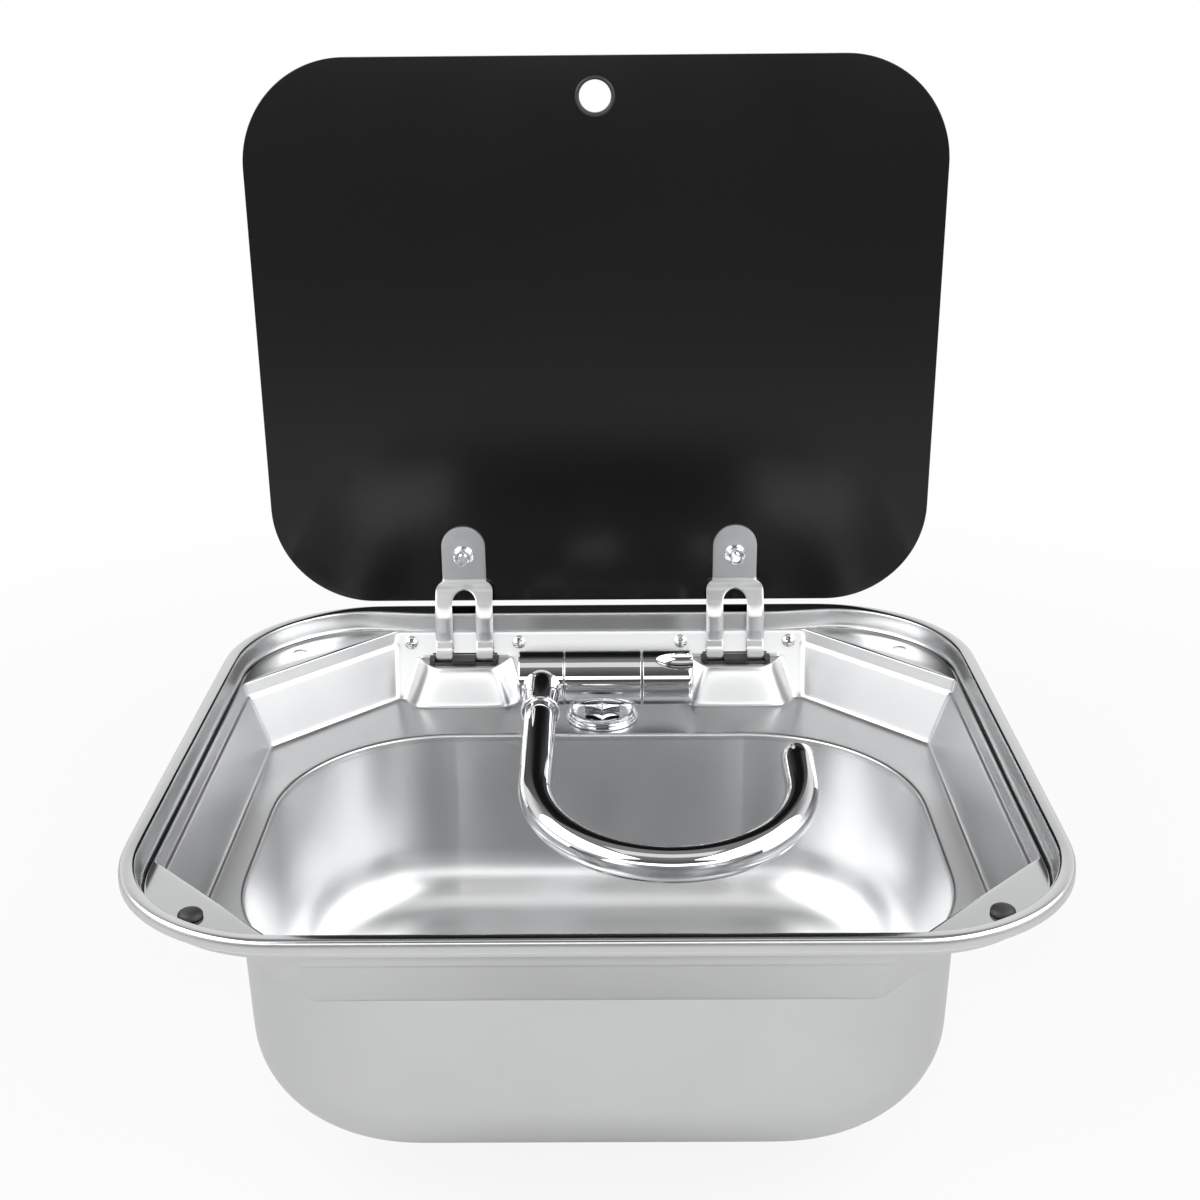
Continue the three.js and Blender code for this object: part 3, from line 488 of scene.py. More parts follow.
def ease_back(ring, forward, lift):
    """Moves the middle of a ring's back edge forward and up, and eases out towards the corners."""
    start, end = FLAT_BACK
    eased = []
    for x, y, z in ring:
        share = clamp((end - abs(x)) / (end - start)) if y > 0 else 0
        share *= share * (3 - 2 * share)
        eased.append((x, y - forward * share, z + lift * share))
    return eased


def recess_ring(x, front, z, back=None, box=None):
    """The tray's inner outline with its cut corners, which shorten towards the deck."""
    share = (LEDGE_Z - z) / (LEDGE_Z - DECK_Z)
    if back is None:
        back = wall_y(z) if z < WALL_TOP[1] else WALL_TOP[0]
    chamfer = between(CUT_CORNER["ledge"], CUT_CORNER["deck"], share)
    return pressed_ring(x, front, back, CUT_CORNER["radius"], z, chamfer, box)


def bowl_ring(inset, z):
    return pressed_ring(
        BOWL["x"] - inset, BOWL["front"] + inset, BOWL["back"] - inset, max(BOWL["radius"] - inset, 4), z,
    )


def recess_side(z):
    """Half width and front of the lower, sloping wall at a height."""
    share = (z - WALLS["top"]) / (WALLS["foot"] - WALLS["top"])
    x = between(WALLS["top_x"], WALLS["foot_x"], share)
    return x, between(WALLS["top_front"], WALLS["foot_front"], share)


def bead_rings():
    """The rolled rim from its foot, over the bead, to the ledges."""
    bead = [  # inset and height, and how far the back, where the rim runs flat to the wall, is forward and up
        (0, 1.2, 0, 0), (0, 3.2, 0, 0), (0.3, 4.8, 0, 0), (0.9, 5.9, 0, 0), (2, 6.4, 0, 0),
        (4, 6.35, 0.2, -0.6), (6, 6.1, 1, -1.3), (7, 5.7, 2.3, -1.6), (7.45, 5, 2.45, -1.3),
        (7.6, 3.4, 2.5, -0.9), (7.7, -3.2, 2.5, 0), (8.7, -5.8, 1.6, 0), (10.4, LEDGE_Z, 0, 0),
    ]
    return [ease_back(rim_ring(inset, z), forward, lift) for inset, z, forward, lift in bead]


def wall_rings():
    """The walls from the rounded edge of the ledges to the deck, and the hinge boxes in the back one."""
    edge = [(198.7, -173.6, -7.5), (198.3, -172, -9.6), (197.6, -170.3, -12.8), (197.4, -169.6, -14)]
    rings = [recess_ring(x, front, z) for x, front, z in edge]
    top = HINGE["box_top"]
    top_back = wall_y(top)
    sloping = [
        (-14.7, None), (-16.4, None), (-19.4, None),
        (-20.8, (top_back, top, 0)), (-21.6, (top_back - 2.2, top, 0)),
        (-22.6, (BOX["top_front"] + 3, top, 0)), (-23.8, (BOX["top_front"] + 0.4, top - 0.4, 0)),
        (-26, (box_front(-25), -25, 0)), (-33, (box_front(-33), -33, 0)),
        (-40.4, (box_front(-41.4), -41.4, 0)), (DECK_Z, (box_front(DECK_Z), DECK_Z, 0)),
    ]
    for z, box in sloping:
        x, front = recess_side(z)
        rings.append(recess_ring(x, front, z, box=box))
    return rings


def deck_rings():
    """The deck from the feet of the walls to the lip that turns down into the bowl."""
    reach = 2
    x, front = recess_side(DECK_Z)
    back = wall_y(DECK_Z) - reach
    box = (box_front(DECK_Z) - reach, DECK_Z, reach)
    lip = [(-3.4, DECK_Z), (-1.6, DECK_Z), (-0.5, DECK_Z - 0.4), (0, DECK_Z - 1.5), (0, DECK_Z - 4)]
    return [
        recess_ring(x - reach, front + reach, DECK_Z, back=back, box=box),
        pressed_ring(x=178, front=-145.5, back=138, radius=12, z=DECK_Z, chamfer=52),
        *(bowl_ring(inset, z) for inset, z in lip),
    ]


def tray_rings():
    """The upper face of the sheet, from the rim's foot to the bowl."""
    rings = bead_rings()
    inner = recess_ring(x=199.2, front=-174.2, z=LEDGE_Z, back=174.3)
    rings += [blend_rings(rings[-1], inner, share) for share in (0.05, 0.95)]
    return [*rings, inner, *wall_rings(), *deck_rings()]


def on_back_wall(x, z):
    """A place on the wall's face: +Z out into the tray, +Y up the wall."""
    return shift(x, wall_y(z), z) @ Matrix.Rotation(atan2(1, WALL_SLOPE), 4, "X")


def wall_opening(x, half, top):
    """A cutter for an opening in the back wall that reaches up to a height."""
    front, back = HINGE["window_front"], HINGE["window_back"]
    return block("opening", x - half, x + half, front, back, HINGE["window_low"], top)


def hinge_openings():
    """Cutters for each hinge's window, and for the two legs of its leaf, whose slots reach higher."""
    windows, slots = [], []
    leg_middle = (LEAF["leg_inner"] + LEAF["leg_outer"]) / 2
    leg_half = (LEAF["leg_outer"] - LEAF["leg_inner"]) / 2 + 0.4
    for _, side in SIDES:
        x = side * HINGE["x"]
        windows.append(wall_opening(x, HINGE["window_half"], HINGE["pad_top"] + GAP))
        for leg in (-1, 1):
            slots.append(wall_opening(x + leg * leg_middle, leg_half, HINGE["leg_window_top"]))
    return [join("windows", windows), join("slots", slots)]


def tray_holes():
    """A cutter for the holes of the hinge screws, the bumpers, the back ledges and the tap."""
    holes = []
    for _, side in SIDES:
        for offset in (-HINGE["screw_offset"], HINGE["screw_offset"]):
            spot = on_back_wall(side * HINGE["x"] + offset, HINGE["screw_z"])
            holes.append(place(rod("hole", HINGE["screw_hole"], -6, 6, 32), spot))
        for at, radius, segments in ((BUMPER, BUMPER["hole"], 32), (LEDGE_HOLE, LEDGE_HOLE["radius"], 48)):
            spot = shift(side * at["x"], at["y"], LEDGE_Z)
            holes.append(place(rod("hole", radius, -5.5, 6.5, segments), spot))
    spot = shift(BODY["neck_x"], TAP["y"], DECK_Z)
    holes.append(place(rod("hole", BODY["shank"] + 0.5, -6, 4), spot))
    return join("holes", holes)


def pressed_sheet(name, rings, levels):
    """A smooth sheet through a cage of rings, facing up on the whole, with its thickness behind the face."""
    sheet = grid(name, rings)
    if sum(polygon.normal.z * polygon.area for polygon in sheet.data.polygons) < 0:
        sheet.data.flip_normals()
    modify(sheet, "SUBSURF", levels=levels, render_levels=levels)
    settle(sheet)
    modify(sheet, "SOLIDIFY", thickness=SHEET * MM, offset=-1, use_quality_normals=True)
    return settle(sheet)


def is_on_top(polygon):
    """Whether a face of the tray belongs to the rim or the ledges and looks up."""
    return polygon.center.z > POLISHED["z"] * MM and polygon.normal.z > POLISHED["up"]


def make_tray():
    tray = pressed_sheet("tray_sheet", tray_rings(), 2)
    boolean(tray, "DIFFERENCE", [*hinge_openings(), tray_holes()])
    dress(tray, "tray", "sink", "satin_steel", sharp=55)
    paint_some(tray, "polished_steel", is_on_top)


# -------- bowl, seal and bumpers


def drain_ring(radius, z):
    edge = radius + 0.3
    return pressed_ring(edge, DRAIN["y"] - edge, DRAIN["y"] + edge, radius, z)


def is_painted_lighter(polygon):
    """Whether a face of the bowl looks up or towards its middle, where its steel is painted lighter as if
    lit.
    """
    inward = polygon.normal.xy.dot(polygon.center.xy) < 0
    return polygon.normal.z > STEEP or (inward and polygon.normal.z > -STEEP)


def make_bowl():
    clearance = BOWL["clearance"]
    flange_z = DECK_Z - SHEET - GAP
    floor_z, fillet = BOWL_FLOOR["z"], BOWL_FLOOR["radius"]
    wall_foot = floor_z + fillet
    drawn_in = tan(BOWL_FLOOR["draft"]) * (BOWL_FLOOR["wall_top"] - wall_foot)
    lip = [(-BOWL["flange"], 0), (-4.2, 0), (-3.1, -0.15), (-2.2, -0.6), (-1.6, -1.4), (-clearance, -2.7)]
    rings = [bowl_ring(inset, flange_z + drop) for inset, drop in lip]
    for share in (0.25, 0.5, 0.75, 1):
        z = between(BOWL_FLOOR["wall_top"], wall_foot, share)
        rings.append(bowl_ring(drawn_in * share - clearance, z))
    for angle in quarter_turn(14)[1:]:
        inset = drawn_in - clearance + fillet * (1 - cos(angle))
        rings.append(bowl_ring(inset, wall_foot - fillet * sin(angle)))
    foot = rings[-1]
    recess, seat_z = DRAIN["recess"], DRAIN["seat_z"]
    rim = drain_ring(recess + 2.6, DRAIN["floor_z"])
    rings += [blend_rings(foot, rim, share) for share in (0.08, 0.3, 0.6, 0.85)]
    rings.append(rim)
    for radius, z in (
        (recess + 1.6, DRAIN["floor_z"] - 0.2), (recess + 0.6, DRAIN["floor_z"] - 0.9),
        (recess, seat_z + 0.5), (recess - 0.6, seat_z), (DRAIN["hole"], seat_z),
    ):
        rings.append(drain_ring(radius, z))
    bowl = pressed_sheet("bowl_shell", rings, 1)
    dress(bowl, "bowl", "sink", "satin_steel", sharp=55)
    # painted light: the faces inside the bowl get a lighter copy of its steel
    paint_some(bowl, "painted_lit_steel", is_painted_lighter)


def make_seal():
    inset, width, height, edge = 1, 3.8, 0.9, 0.2
    section = [
        (inset, edge), (inset + edge, 0), (inset + width - edge, 0), (inset + width, edge),
        (inset + width, height - edge), (inset + width - edge, height), (inset + edge, height),
        (inset, height - edge),
    ]
    seal = grid("rim_seal_strip", [rim_ring(step, z) for step, z in section], wrap_rings=True)
    dress(seal, "rim_seal", "sink", "rim_seal")


def make_bumper(name, side):
    """A domed rubber button whose stem and barb hold it in the ledge."""
    radius, height, hole = BUMPER["radius"], BUMPER["height"], BUMPER["hole"]
    under = -SHEET - GAP
    profile = [
        (0, under - 3), (hole - 1, under - 3), (hole + 1, under - 0.8), (hole + 1, under),
        (hole - GAP, under), (hole - GAP, GAP), (radius - 0.2, GAP), (radius, GAP + 0.3),
    ]
    for angle in quarter_turn(12):
        profile.append((radius * cos(angle), GAP + 0.7 + (height - 0.9) * sin(angle) ** 0.9))
    bumper = lathe(f"bumper_dome_{name}", profile, 64)
    place(bumper, shift(side * BUMPER["x"], BUMPER["y"], LEDGE_Z))
    dress(bumper, f"bumper_{name}", "sink", "black_rubber")


# -------- lid hinge


def catmull_rom(points, per_span):
    """A smooth path through points."""
    ends = [points[0], *points, points[-1]]
    path = []
    for before, start, end, after in zip(ends, ends[1:], ends[2:], ends[3:]):
        for i in range(per_span):
            t = i / per_span
            path.append(tuple(
                0.5 * (2 * b + (c - a) * t + (2 * a - 5 * b + 4 * c - d) * t * t
                       + (3 * b - a - 3 * c + d) * t ** 3)
                for a, b, c, d in zip(before, start, end, after)))
    path.append(points[-1])
    return path


def leaf_side():
    """Depth over height along the middle of a leaf, from its eye to the top of its tab."""
    back = HINGE["pivot_y"] - HINGE["pin"] - GAP - LEAF["thickness"] / 2
    low = [
        (back, HINGE["pivot_z"]), (166.3, -14.9), (168.4, -11.7), (169.6, -8.4), (170.8, -3), (172, 4),
        (174.2, 10.6), (178, 16.4), (182.2, 20), (LEAF["tab_y"], LEAF["bend_z"] + 1.2),
    ]
    path = catmull_rom(low, 16)
    tab_z, straight_top = LEAF["bend_z"] + 3, LEAF["straight_top"]
    path += [(LEAF["tab_y"], between(tab_z, straight_top, i / 6)) for i in range(7)]
    tops = [straight_top + LEAF["tab_half"] * sin(angle) for angle in quarter_turn(18)[1:]]
    return path + [(LEAF["tab_y"], z) for z in tops]


def leaf_outer(z):
    """Half width of a leaf at a height: leg, shoulder, tab and its round top."""
    shoulder, bend, straight_top = LEAF["shoulder_z"], LEAF["bend_z"], LEAF["straight_top"]
    if z <= shoulder:
        return LEAF["leg_outer"]
    if z <= bend:
        share = (z - shoulder) / (bend - shoulder)
        return between(LEAF["leg_outer"], LEAF["tab_half"], share ** 2.2)
    if z <= straight_top:
        return LEAF["tab_half"]
    return sqrt(max(LEAF["tab_half"] ** 2 - (z - straight_top) ** 2, 0))


def leaf_inner(z):
    """Half width of the arched slot at a height."""
    arch, half = LEAF["arch_z"], LEAF["leg_inner"]
    if z <= arch:
        return half
    return sqrt(max(half ** 2 - (z - arch) ** 2, 0))


def leaf_crown(z):
    """How far the middle of a leg stands forward at a height, fading out near the eye and the arch."""
    above_eye = clamp((z - LEAF["crown_low"]) / 6)
    below_arch = clamp((LEAF["arch_z"] - z) / 8)
    return LEAF["crown"] * below_arch * above_eye


def make_leaf(name, side):
    """A strip bent round the pin and over the rim, slotted into two crowned legs."""
    columns = 10
    rows = []
    eye = HINGE["pin"] + GAP + LEAF["thickness"] / 2
    for i in range(18, 0, -1):
        y, z = polar(eye, pi + LEAF["eye_turn"] * i / 18, HINGE["pivot_y"], HINGE["pivot_z"])
        rows.append((y, z, LEAF["leg_inner"], LEAF["leg_outer"], 0))
    arch_top = LEAF["arch_z"] + LEAF["leg_inner"]
    for y, z in leaf_side():
        inner = 0 if z >= arch_top else leaf_inner(z)
        rows.append((y, z, inner, leaf_outer(z), leaf_crown(z)))
    halves = []
    for half in (-1, 1):
        rings = []
        for y, z, inner, outer, crown in rows:
            ring = []
            for i in range(columns + 1):
                share = i / columns
                rise = crown * (1 - (2 * share - 1) ** 4)
                ring.append((half * between(inner, outer, share), y - rise, z))
            rings.append(ring)
        halves.append(grid("half", rings, wrap_points=False))
    leaf = join(f"lid_strap_{name}", halves)
    weld(leaf.data, 0.02 * MM)
    modify(leaf, "SOLIDIFY", thickness=LEAF["thickness"] * MM, offset=0, use_even_offset=True)
    settle(leaf)
    bore = place(rod("bore", LEAF["bolt_hole"], -200, -160), ALONG_MINUS_Y)
    boolean(leaf, "DIFFERENCE", [place(bore, shift(0, 0, LEAF["bolt_z"]))])
    bevel(leaf, 0.3, segments=2, angle=50)
    place(leaf, shift(side * HINGE["x"], 0, 0))
    dress(leaf, f"hinge_leaf_{name}", "lid", "satin_steel", sharp=45)


def make_screw(name, x):
    """A pan head with a cross recess."""
    head, stem, edge_z, dome = 4, 1.95, 1.0, 1.9
    profile = [(0, -8.5), (1.5, -8.5), (stem, -8), (stem, GAP), (3.85, GAP), (head, 0.5), (head, edge_z)]
    for angle in quarter_turn(8)[1:]:
        profile.append((head * cos(angle), edge_z + dome * sin(angle)))
    screw = lathe(f"wall_screw_{name}", profile, 48)
    for x_reach, y_reach in ((2.3, 0.5), (0.5, 2.3)):
        boolean(screw, "DIFFERENCE", [block("bar", -x_reach, x_reach, -y_reach, y_reach, 1.6, 4)])
    place(screw, on_back_wall(x, HINGE["screw_z"]) @ turn(12 + 31 * (x % 7), "Z"))
    dress(screw, f"hinge_screw_{name}", "sink", "chrome", sharp=32)


def thread(radius, depth, pitch, low, high):
    """The outline of a thread's ridges between two heights, as (radius, height) points."""
    root = radius - depth
    ridge = [(0.1, radius), (0.3, radius), (0.55, root), (0.75, root)]
    count = int((high - low) / pitch)
    return [(reach, low + pitch * (i + share)) for i in range(count) for share, reach in ridge]


def fixing_spot(side):
    """Where a leaf is bolted to the glass: +Z out of the glass's front face."""
    return shift(side * HINGE["x"], LID["front"], LEAF["bolt_z"]) @ ALONG_MINUS_Y


def make_bolt(name, side):
    """A low round cap behind the glass, and a threaded stem."""
    cap = [(0, -8.9), (5.6, -8.9), (7, -8.6), (7.8, -7.9), (8, -7.2), (8, -6.6), (2.95, -6.6)]
    tip = [(2.4, 9.5), (1.2, 9.5), (1, 9.2), (0, 9.2)]
    bolt = lathe(f"lid_stud_{name}", cap + thread(2.95, 0.3, 0.8, 1.5, 9.1) + tip, 48)
    dress(place(bolt, fixing_spot(side)), f"lid_bolt_{name}", "lid", "chrome", sharp=32)


def make_nut(name, side):
    """A hexagon nut with a round flange, in front of the leaf."""
    bore = 3.2
    flange = lathe("flange", [
        (bore, 2.2), (6.05, 2.2), (6.2, 2.4), (6.15, 2.9), (5.6, 3.35), (4.9, 3.8), (4.4, 4.4), (bore, 4.4),
    ], 64, closed=True)
    crown = prism("crown", hexagon(9.6, 15), 3.2, 7.4, [circle(0, 0, bore)])
    cone = lathe("cone", [(0, 3), (5.9, 3), (5.9, 6.7), (4.7, 7.45), (0, 7.45)], 64)
    boolean(crown, "INTERSECT", [cone])
    nut = join(f"flange_nut_{name}", [flange, crown])
    bevel(nut, 0.15, segments=2)
    dress(place(nut, fixing_spot(side)), f"lid_nut_{name}", "lid", "chrome", sharp=32)


# -------- glass lid


def make_glass():
    half = LID["half_width"]
    loop = rounded_rectangle(-half, half, LID["bottom"], LID["top"], LID["radius"], 32)
    holes = [circle(0, LID["finger_z"], LID["finger_hole"], 72)]
    holes += [circle(side * HINGE["x"], LEAF["bolt_z"], LID["bolt_hole"], 32) for _, side in SIDES]
    glass = prism("lid_pane", loop, 0, LID["thickness"], holes)
    bevel(glass, LID["arris"])
    place(glass, shift(0, LID["front"] + LID["thickness"], 0) @ ALONG_MINUS_Y)
    dress(glass, "lid_glass", "lid", "black_glass", sharp=12)


def make_grommet():
    """A rubber ring with a rounded lip on each face of the glass."""
    bore, lip = 8.75, 11
    sleeve, half = LID["finger_hole"] - GAP, LID["thickness"] / 2 + GAP
    front = []
    middle, reach = (bore + lip) / 2, (lip - bore) / 2
    for i in range(9):
        angle = i / 8 * pi
        front.append((middle + reach * cos(angle), half + 1.1 * sin(angle)))
    profile = [(sleeve, half), *front] + [(radius, -z) for radius, z in reversed(front)] + [(sleeve, -half)]
    grommet = lathe("finger_ring", profile, 72, closed=True)
    place(grommet, shift(0, LID["front"] + LID["thickness"] / 2, LID["finger_z"]) @ ALONG_MINUS_Y)
    dress(grommet, "lid_grommet", "lid", "black_rubber")


# -------- tap

TAP_AXIS = shift(0, TAP["y"], TAP["z"])
ARM = TAP_AXIS @ Matrix.Rotation(TAP["dip"], 4, "X")


def arc(centre, radius, start, end, count):
    """(radius, height) points on an arc, its angles in degrees."""
    angles = [radians(between(start, end, i / count)) for i in range(count + 1)]
    return [polar(radius, angle, *centre) for angle in angles]


def make_base_ring():
    profile = [
        (11.9, DECK_Z + GAP), (20.8, DECK_Z + GAP), (21, -43.5), (21, -42.5), (20.8, -42.2), (20.1, -42.1),
        (20.1, -40.9), (19.9, -40.6), (19.3, -40.5), (19.2, -39.5), (19, -39), (18.4, -38.6), (17.8, -38.5),
        (17.2, -38.7), (16, -39.9), (14.6, -40.9), (13.2, -41.3), (11.9, -41.3),
    ]
    base = place(lathe("tap_foot", profile, 128, closed=True), shift(BODY["neck_x"], TAP["y"], 0))
    dress(base, "tap_base_ring", "sink", "chrome", sharp=32)


def make_body():
    """Barrel along X, hexagon neck, and a threaded shank below the deck."""
    radius, length = TAP["radius"], BODY["right"] - BODY["left"]
    edge, stem_bore, cartridge_bore = 0.5, 7, 9
    profile = [(0, -16), (stem_bore, -16), (stem_bore, 0), *arc((radius - edge, edge), edge, -90, 0, 4)]
    profile += [*arc((radius - edge, length - edge), edge, 0, 90, 4), (cartridge_bore, length)]
    profile += [(cartridge_bore, length - 14.5), (0, length - 14.5)]
    barrel = place(lathe("barrel", profile, 128), shift(BODY["left"], 0, TAP["z"]) @ ALONG_X)
    neck = prism("neck", hexagon(BODY["flats"], 30), DECK_Z + 1.5, TAP["z"])
    bevel(neck, edge)
    shank_radius, end, bore, bore_top, top = BODY["shank"], BODY["shank_end"], 5.2, -48, -42
    shank_profile = [(bore, bore_top), (bore, end), (8.2, end)]
    shank_profile += thread(shank_radius, 0.55, 1.5, end + 0.8, -47)
    shank_profile += [(shank_radius, -46), (shank_radius, top), (0, top), (0, bore_top)]
    shank = lathe("shank", shank_profile, 64)
    for part in (neck, shank):
        place(part, shift(BODY["neck_x"], 0, 0))
    body = place(join("tap_barrel", [barrel, neck, shank]), shift(0, TAP["y"], 0))
    dress(body, "tap_body", "sink", "chrome", sharp=32)


def soft_min(a, b, width):
    """The lesser of two values, with a rounded change from one to the other."""
    mix = clamp(0.5 + 0.5 * (b - a) / width)
    return between(b, a, mix) - width * mix * (1 - mix)


def thumb_recess(x, angle):
    """Distance from the knob's axis to the near side of the scooped hollow, or None beside it."""
    share = 1 - ((x - THUMB["x"]) / THUMB["along"]) ** 2
    off = angle - (pi - THUMB["lift"])
    root = THUMB["across"] ** 2 * share - (THUMB["reach"] * sin(off)) ** 2
    if root <= 0 or cos(off) <= 0:
        return None
    return THUMB["reach"] * cos(off) - sqrt(root)


def make_knob():
    """A barrel with a thumb recess, and a blind bore for the valve's stem."""
    left, right, radius = KNOB["left"], KNOB["right"], TAP["radius"]
    bore, bore_end = 3.7, 41.8
    outline = [(bore, bore_end), (bore, left + 0.2), *arc((radius - 0.6, left + 0.8), 0.6, -90, 0, 4)]
    outline += [(radius, left + 0.8 + i * 0.5) for i in range(1, int((right - 3 - left) / 0.5))]
    outline += [*arc((radius - 3, right - 3), 3, 0, 90, 10), (0, right)]
    segments = 240
    rings = [[(bore_end, 0, 0)] * segments]
    for r, x in outline:
        ring = []
        for angle in full_turn(segments):
            depth = thumb_recess(x, angle)
            reach = soft_min(r, depth, 0.8) if depth is not None and r > 5 else r
            ring.append((x, *polar(reach, angle)))
        rings.append(ring)
    knob = place(grid("turning_knob", rings), TAP_AXIS)
    dress(knob, "tap_knob", "tap_handle", "chrome", sharp=50)


def sleeve_rings(segments):
    """The sleeve from a flare on the knuckle's barrel to its beaded end, in the level arm frame."""
    barrel, sleeve, end = TAP["radius"], KNUCKLE["sleeve"], KNUCKLE["sleeve_end"]
    middle, root, bore, bore_foot = KNUCKLE["sleeve_x"], 8, 7.5, 18
    flare = [(1.1, -1.2), (1.1, 0.05), (0.5, 0.3), (0.15, 0.75), (0, 1.3), (0, 4)]
    rings = [[(middle, -root, 0)] * segments]
    for grow, rise in flare:
        ring = []
        for angle in full_turn(segments):
            reach = sleeve + grow
            z = reach * sin(angle)
            y = sqrt(barrel ** 2 - z ** 2) + rise
            ring.append((middle + reach * cos(angle), -y, z))
        rings.append(ring)
    tail = [(0, end - 2.6), (0.05, end - 2.4), (0.45, end - 1.9), (0.5, end - 1.4), (0.45, end - 0.6)]
    tail += [(0.1, end - 0.1), (-0.2, end), (bore - sleeve, end), (bore - sleeve, bore_foot)]
    for grow, along in tail:
        rings.append([(x, -along, z) for x, z in circle(middle, 0, sleeve + grow, segments)])
    rings.append([(middle, -bore_foot, 0)] * segments)
    return rings


def make_knuckle():
    """The barrel that folds on the tap, with the sleeve that carries the spout."""
    left, right, radius = KNUCKLE["left"], KNUCKLE["right"], TAP["radius"]
    outer_edge, inner_edge, bore, bore_depth = 1.6, 0.5, 7.3, 16
    profile = [(0, left), *arc((radius - outer_edge, left + outer_edge), outer_edge, -90, 0, 8)]
    profile += [*arc((radius - inner_edge, right - inner_edge), inner_edge, 0, 90, 4), (bore, right)]
    profile += [(bore, right - bore_depth), (0, right - bore_depth)]
    barrel = place(lathe("barrel", profile, 128), ALONG_X)
    knuckle = join("tap_elbow", [barrel, grid("sleeve", sleeve_rings(96))])
    dress(place(knuckle, ARM), "tap_knuckle", "tap_arm", "chrome", sharp=35)


def make_spout():
    """A bent tube: straight, half a turn, and a short return to its open mouth."""
    sides, turn_steps = 56, 72
    start, end = KNUCKLE["sleeve_end"] + GAP, SPOUT["mouth"]
    bend, bend_start = SPOUT["bend"], SPOUT["bend_start"]
    radius, bore = SPOUT["radius"], SPOUT["bore"]
    x, centre_x = KNUCKLE["sleeve_x"], KNUCKLE["sleeve_x"] + bend
    mouth_x = centre_x + bend

    def ring(middle_x, middle_y, angle, reach):
        """A ring round the tube's middle line, whose direction is turned by an angle."""
        points = []
        for round_bar in full_turn(sides):
            across = reach * cos(round_bar)
            points.append((*polar(-across, angle, middle_x, middle_y), reach * sin(round_bar)))
        return points

    def run(reach, first, last):
        """Rings along the tube, from one distance from the arm's axis to the other."""
        rings = [ring(x, -between(first, bend_start, i / 8), 0, reach) for i in range(8)]
        for i in range(turn_steps + 1):
            angle = i / turn_steps * pi
            rings.append(ring(*polar(-bend, angle, centre_x, -bend_start), angle, reach))
        rings += [ring(mouth_x, -between(bend_start, last, i / 3), pi, reach) for i in range(1, 4)]
        return rings

    inlet, stub, stub_start = 5.8, 7.2, 19
    rings = [ring(x, -along, 0, reach) for along, reach in (
        (stub_start, inlet), (stub_start, stub), (start, stub), (start, radius - 0.3))]
    rings += run(radius, start + 0.3, end + 0.4)
    rings += [ring(mouth_x, -end - inside, pi, reach) for inside, reach in (
        (0.1, radius - 0.15), (0, radius - 0.45), (0, bore + 0.3), (0.3, bore))]
    rings += list(reversed(run(bore, start + 4, end + 0.8)))
    rings.append(ring(x, -start - 4, 0, inlet))
    spout = grid("spout_tube", rings, wrap_rings=True)
    dress(place(spout, ARM), "spout", "tap_spout", "chrome", sharp=50)


# -------- waste

WASTE_SPOT = shift(DRAIN["x"], DRAIN["y"], 0)


def make_waste_flange():
    """A flange in the bowl's seat, and its threaded tube."""
    under, top, tube, bore = DRAIN["seat_z"] + GAP, DRAIN["seat_z"] + 2, 19.6, 15.4
    flange = lathe("waste_cup", [
        (17.4, top - 1.3), (18.1, top - 0.6), (19.2, top - 0.15), (21, top), (25, top), (27.8, top - 0.25),
        (28.8, top - 0.9), (29, under + 0.1), (28.9, under), (tube, under),
        *thread(tube, 0.6, 2, -186.5, -156)[::-1], (19.2, -188), (bore, -188), (bore, -166), (17, -166),
    ], closed=True)
    dress(place(flange, WASTE_SPOT), "waste_flange", "sink", "satin_steel", sharp=32)


def make_strainer():
    hole, pitch = 3, 9.6
    holes = [circle(0, 0, hole, 32)]
    holes += [circle(*polar(pitch, angle), hole, 32) for angle in full_turn(6)]
    strainer = bevel(prism("waste_grid", circle(0, 0, 16.7, 72), -165.7, -164.2, holes), 0.25)
    dress(place(strainer, WASTE_SPOT), "waste_strainer", "sink", "satin_steel")


def make_plug():
    """A rubber plug with a domed top and a round grip."""
    plug = lathe("rubber_plug", [
        (0, -160), (14.9, -160), (15.4, -159.6), (17, -152.2), (18.6, -151.2), (20.1, -150.6), (20.4, -150.2),
        (20.4, -149.6), (20, -149.1), (18, -148.3), (12, -147.9), (6.4, -147.8), (4, -147.2), (3, -145.9),
        (2.8, -144.2), (3.2, -142.8), (4.3, -142), (5.1, -141.2), (5.2, -140.2), (4.6, -139.2), (3, -138.6),
        (0, -138.4),
    ])
    dress(place(plug, WASTE_SPOT), "waste_plug", "plug", "black_rubber")


# -------- assembly

KEPT = {  # nodes whose shape is right already: slot and edge radius
    "tap_gasket": ("black_rubber", 0.3), "tap_washer": ("fastener_steel", 0.2),
    "tap_lock_nut": ("brass", 0.5), "tap_cartridge": ("fastener_steel", 0.2),
    "tap_valve_stem": ("fastener_steel", 0.3),
    "waste_seal": ("black_rubber", 0.4), "waste_lock_nut": ("white_plastic", 0.8),
}

make_tray()
make_bowl()
make_seal()
make_glass()
make_grommet()
for name, side in SIDES:
    make_bumper(name, side)
    make_leaf(name, side)
    make_bolt(name, side)
    make_nut(name, side)
    for end, sign in (("outer", 1), ("inner", -1)):
        make_screw(f"{name}_{end}", side * (HINGE["x"] + sign * HINGE["screw_offset"]))
        keep(f"hinge_nut_{name}_{end}", "fastener_steel", 0.3)
    keep(f"hinge_block_{name}", "black_plastic", 0.5)
    keep(f"hinge_pin_{name}", "fastener_steel", 0.25)
    keep(f"hinge_bracket_{name}", "fastener_steel", 0.25)
    keep(f"lid_washer_{name}", "black_rubber", 0.2)
make_base_ring()
make_body()
make_knob()
make_knuckle()
make_spout()
make_waste_flange()
make_strainer()
make_plug()
for cad_node, (slot, edge) in KEPT.items():
    keep(cad_node, slot, edge)

# -------- camera

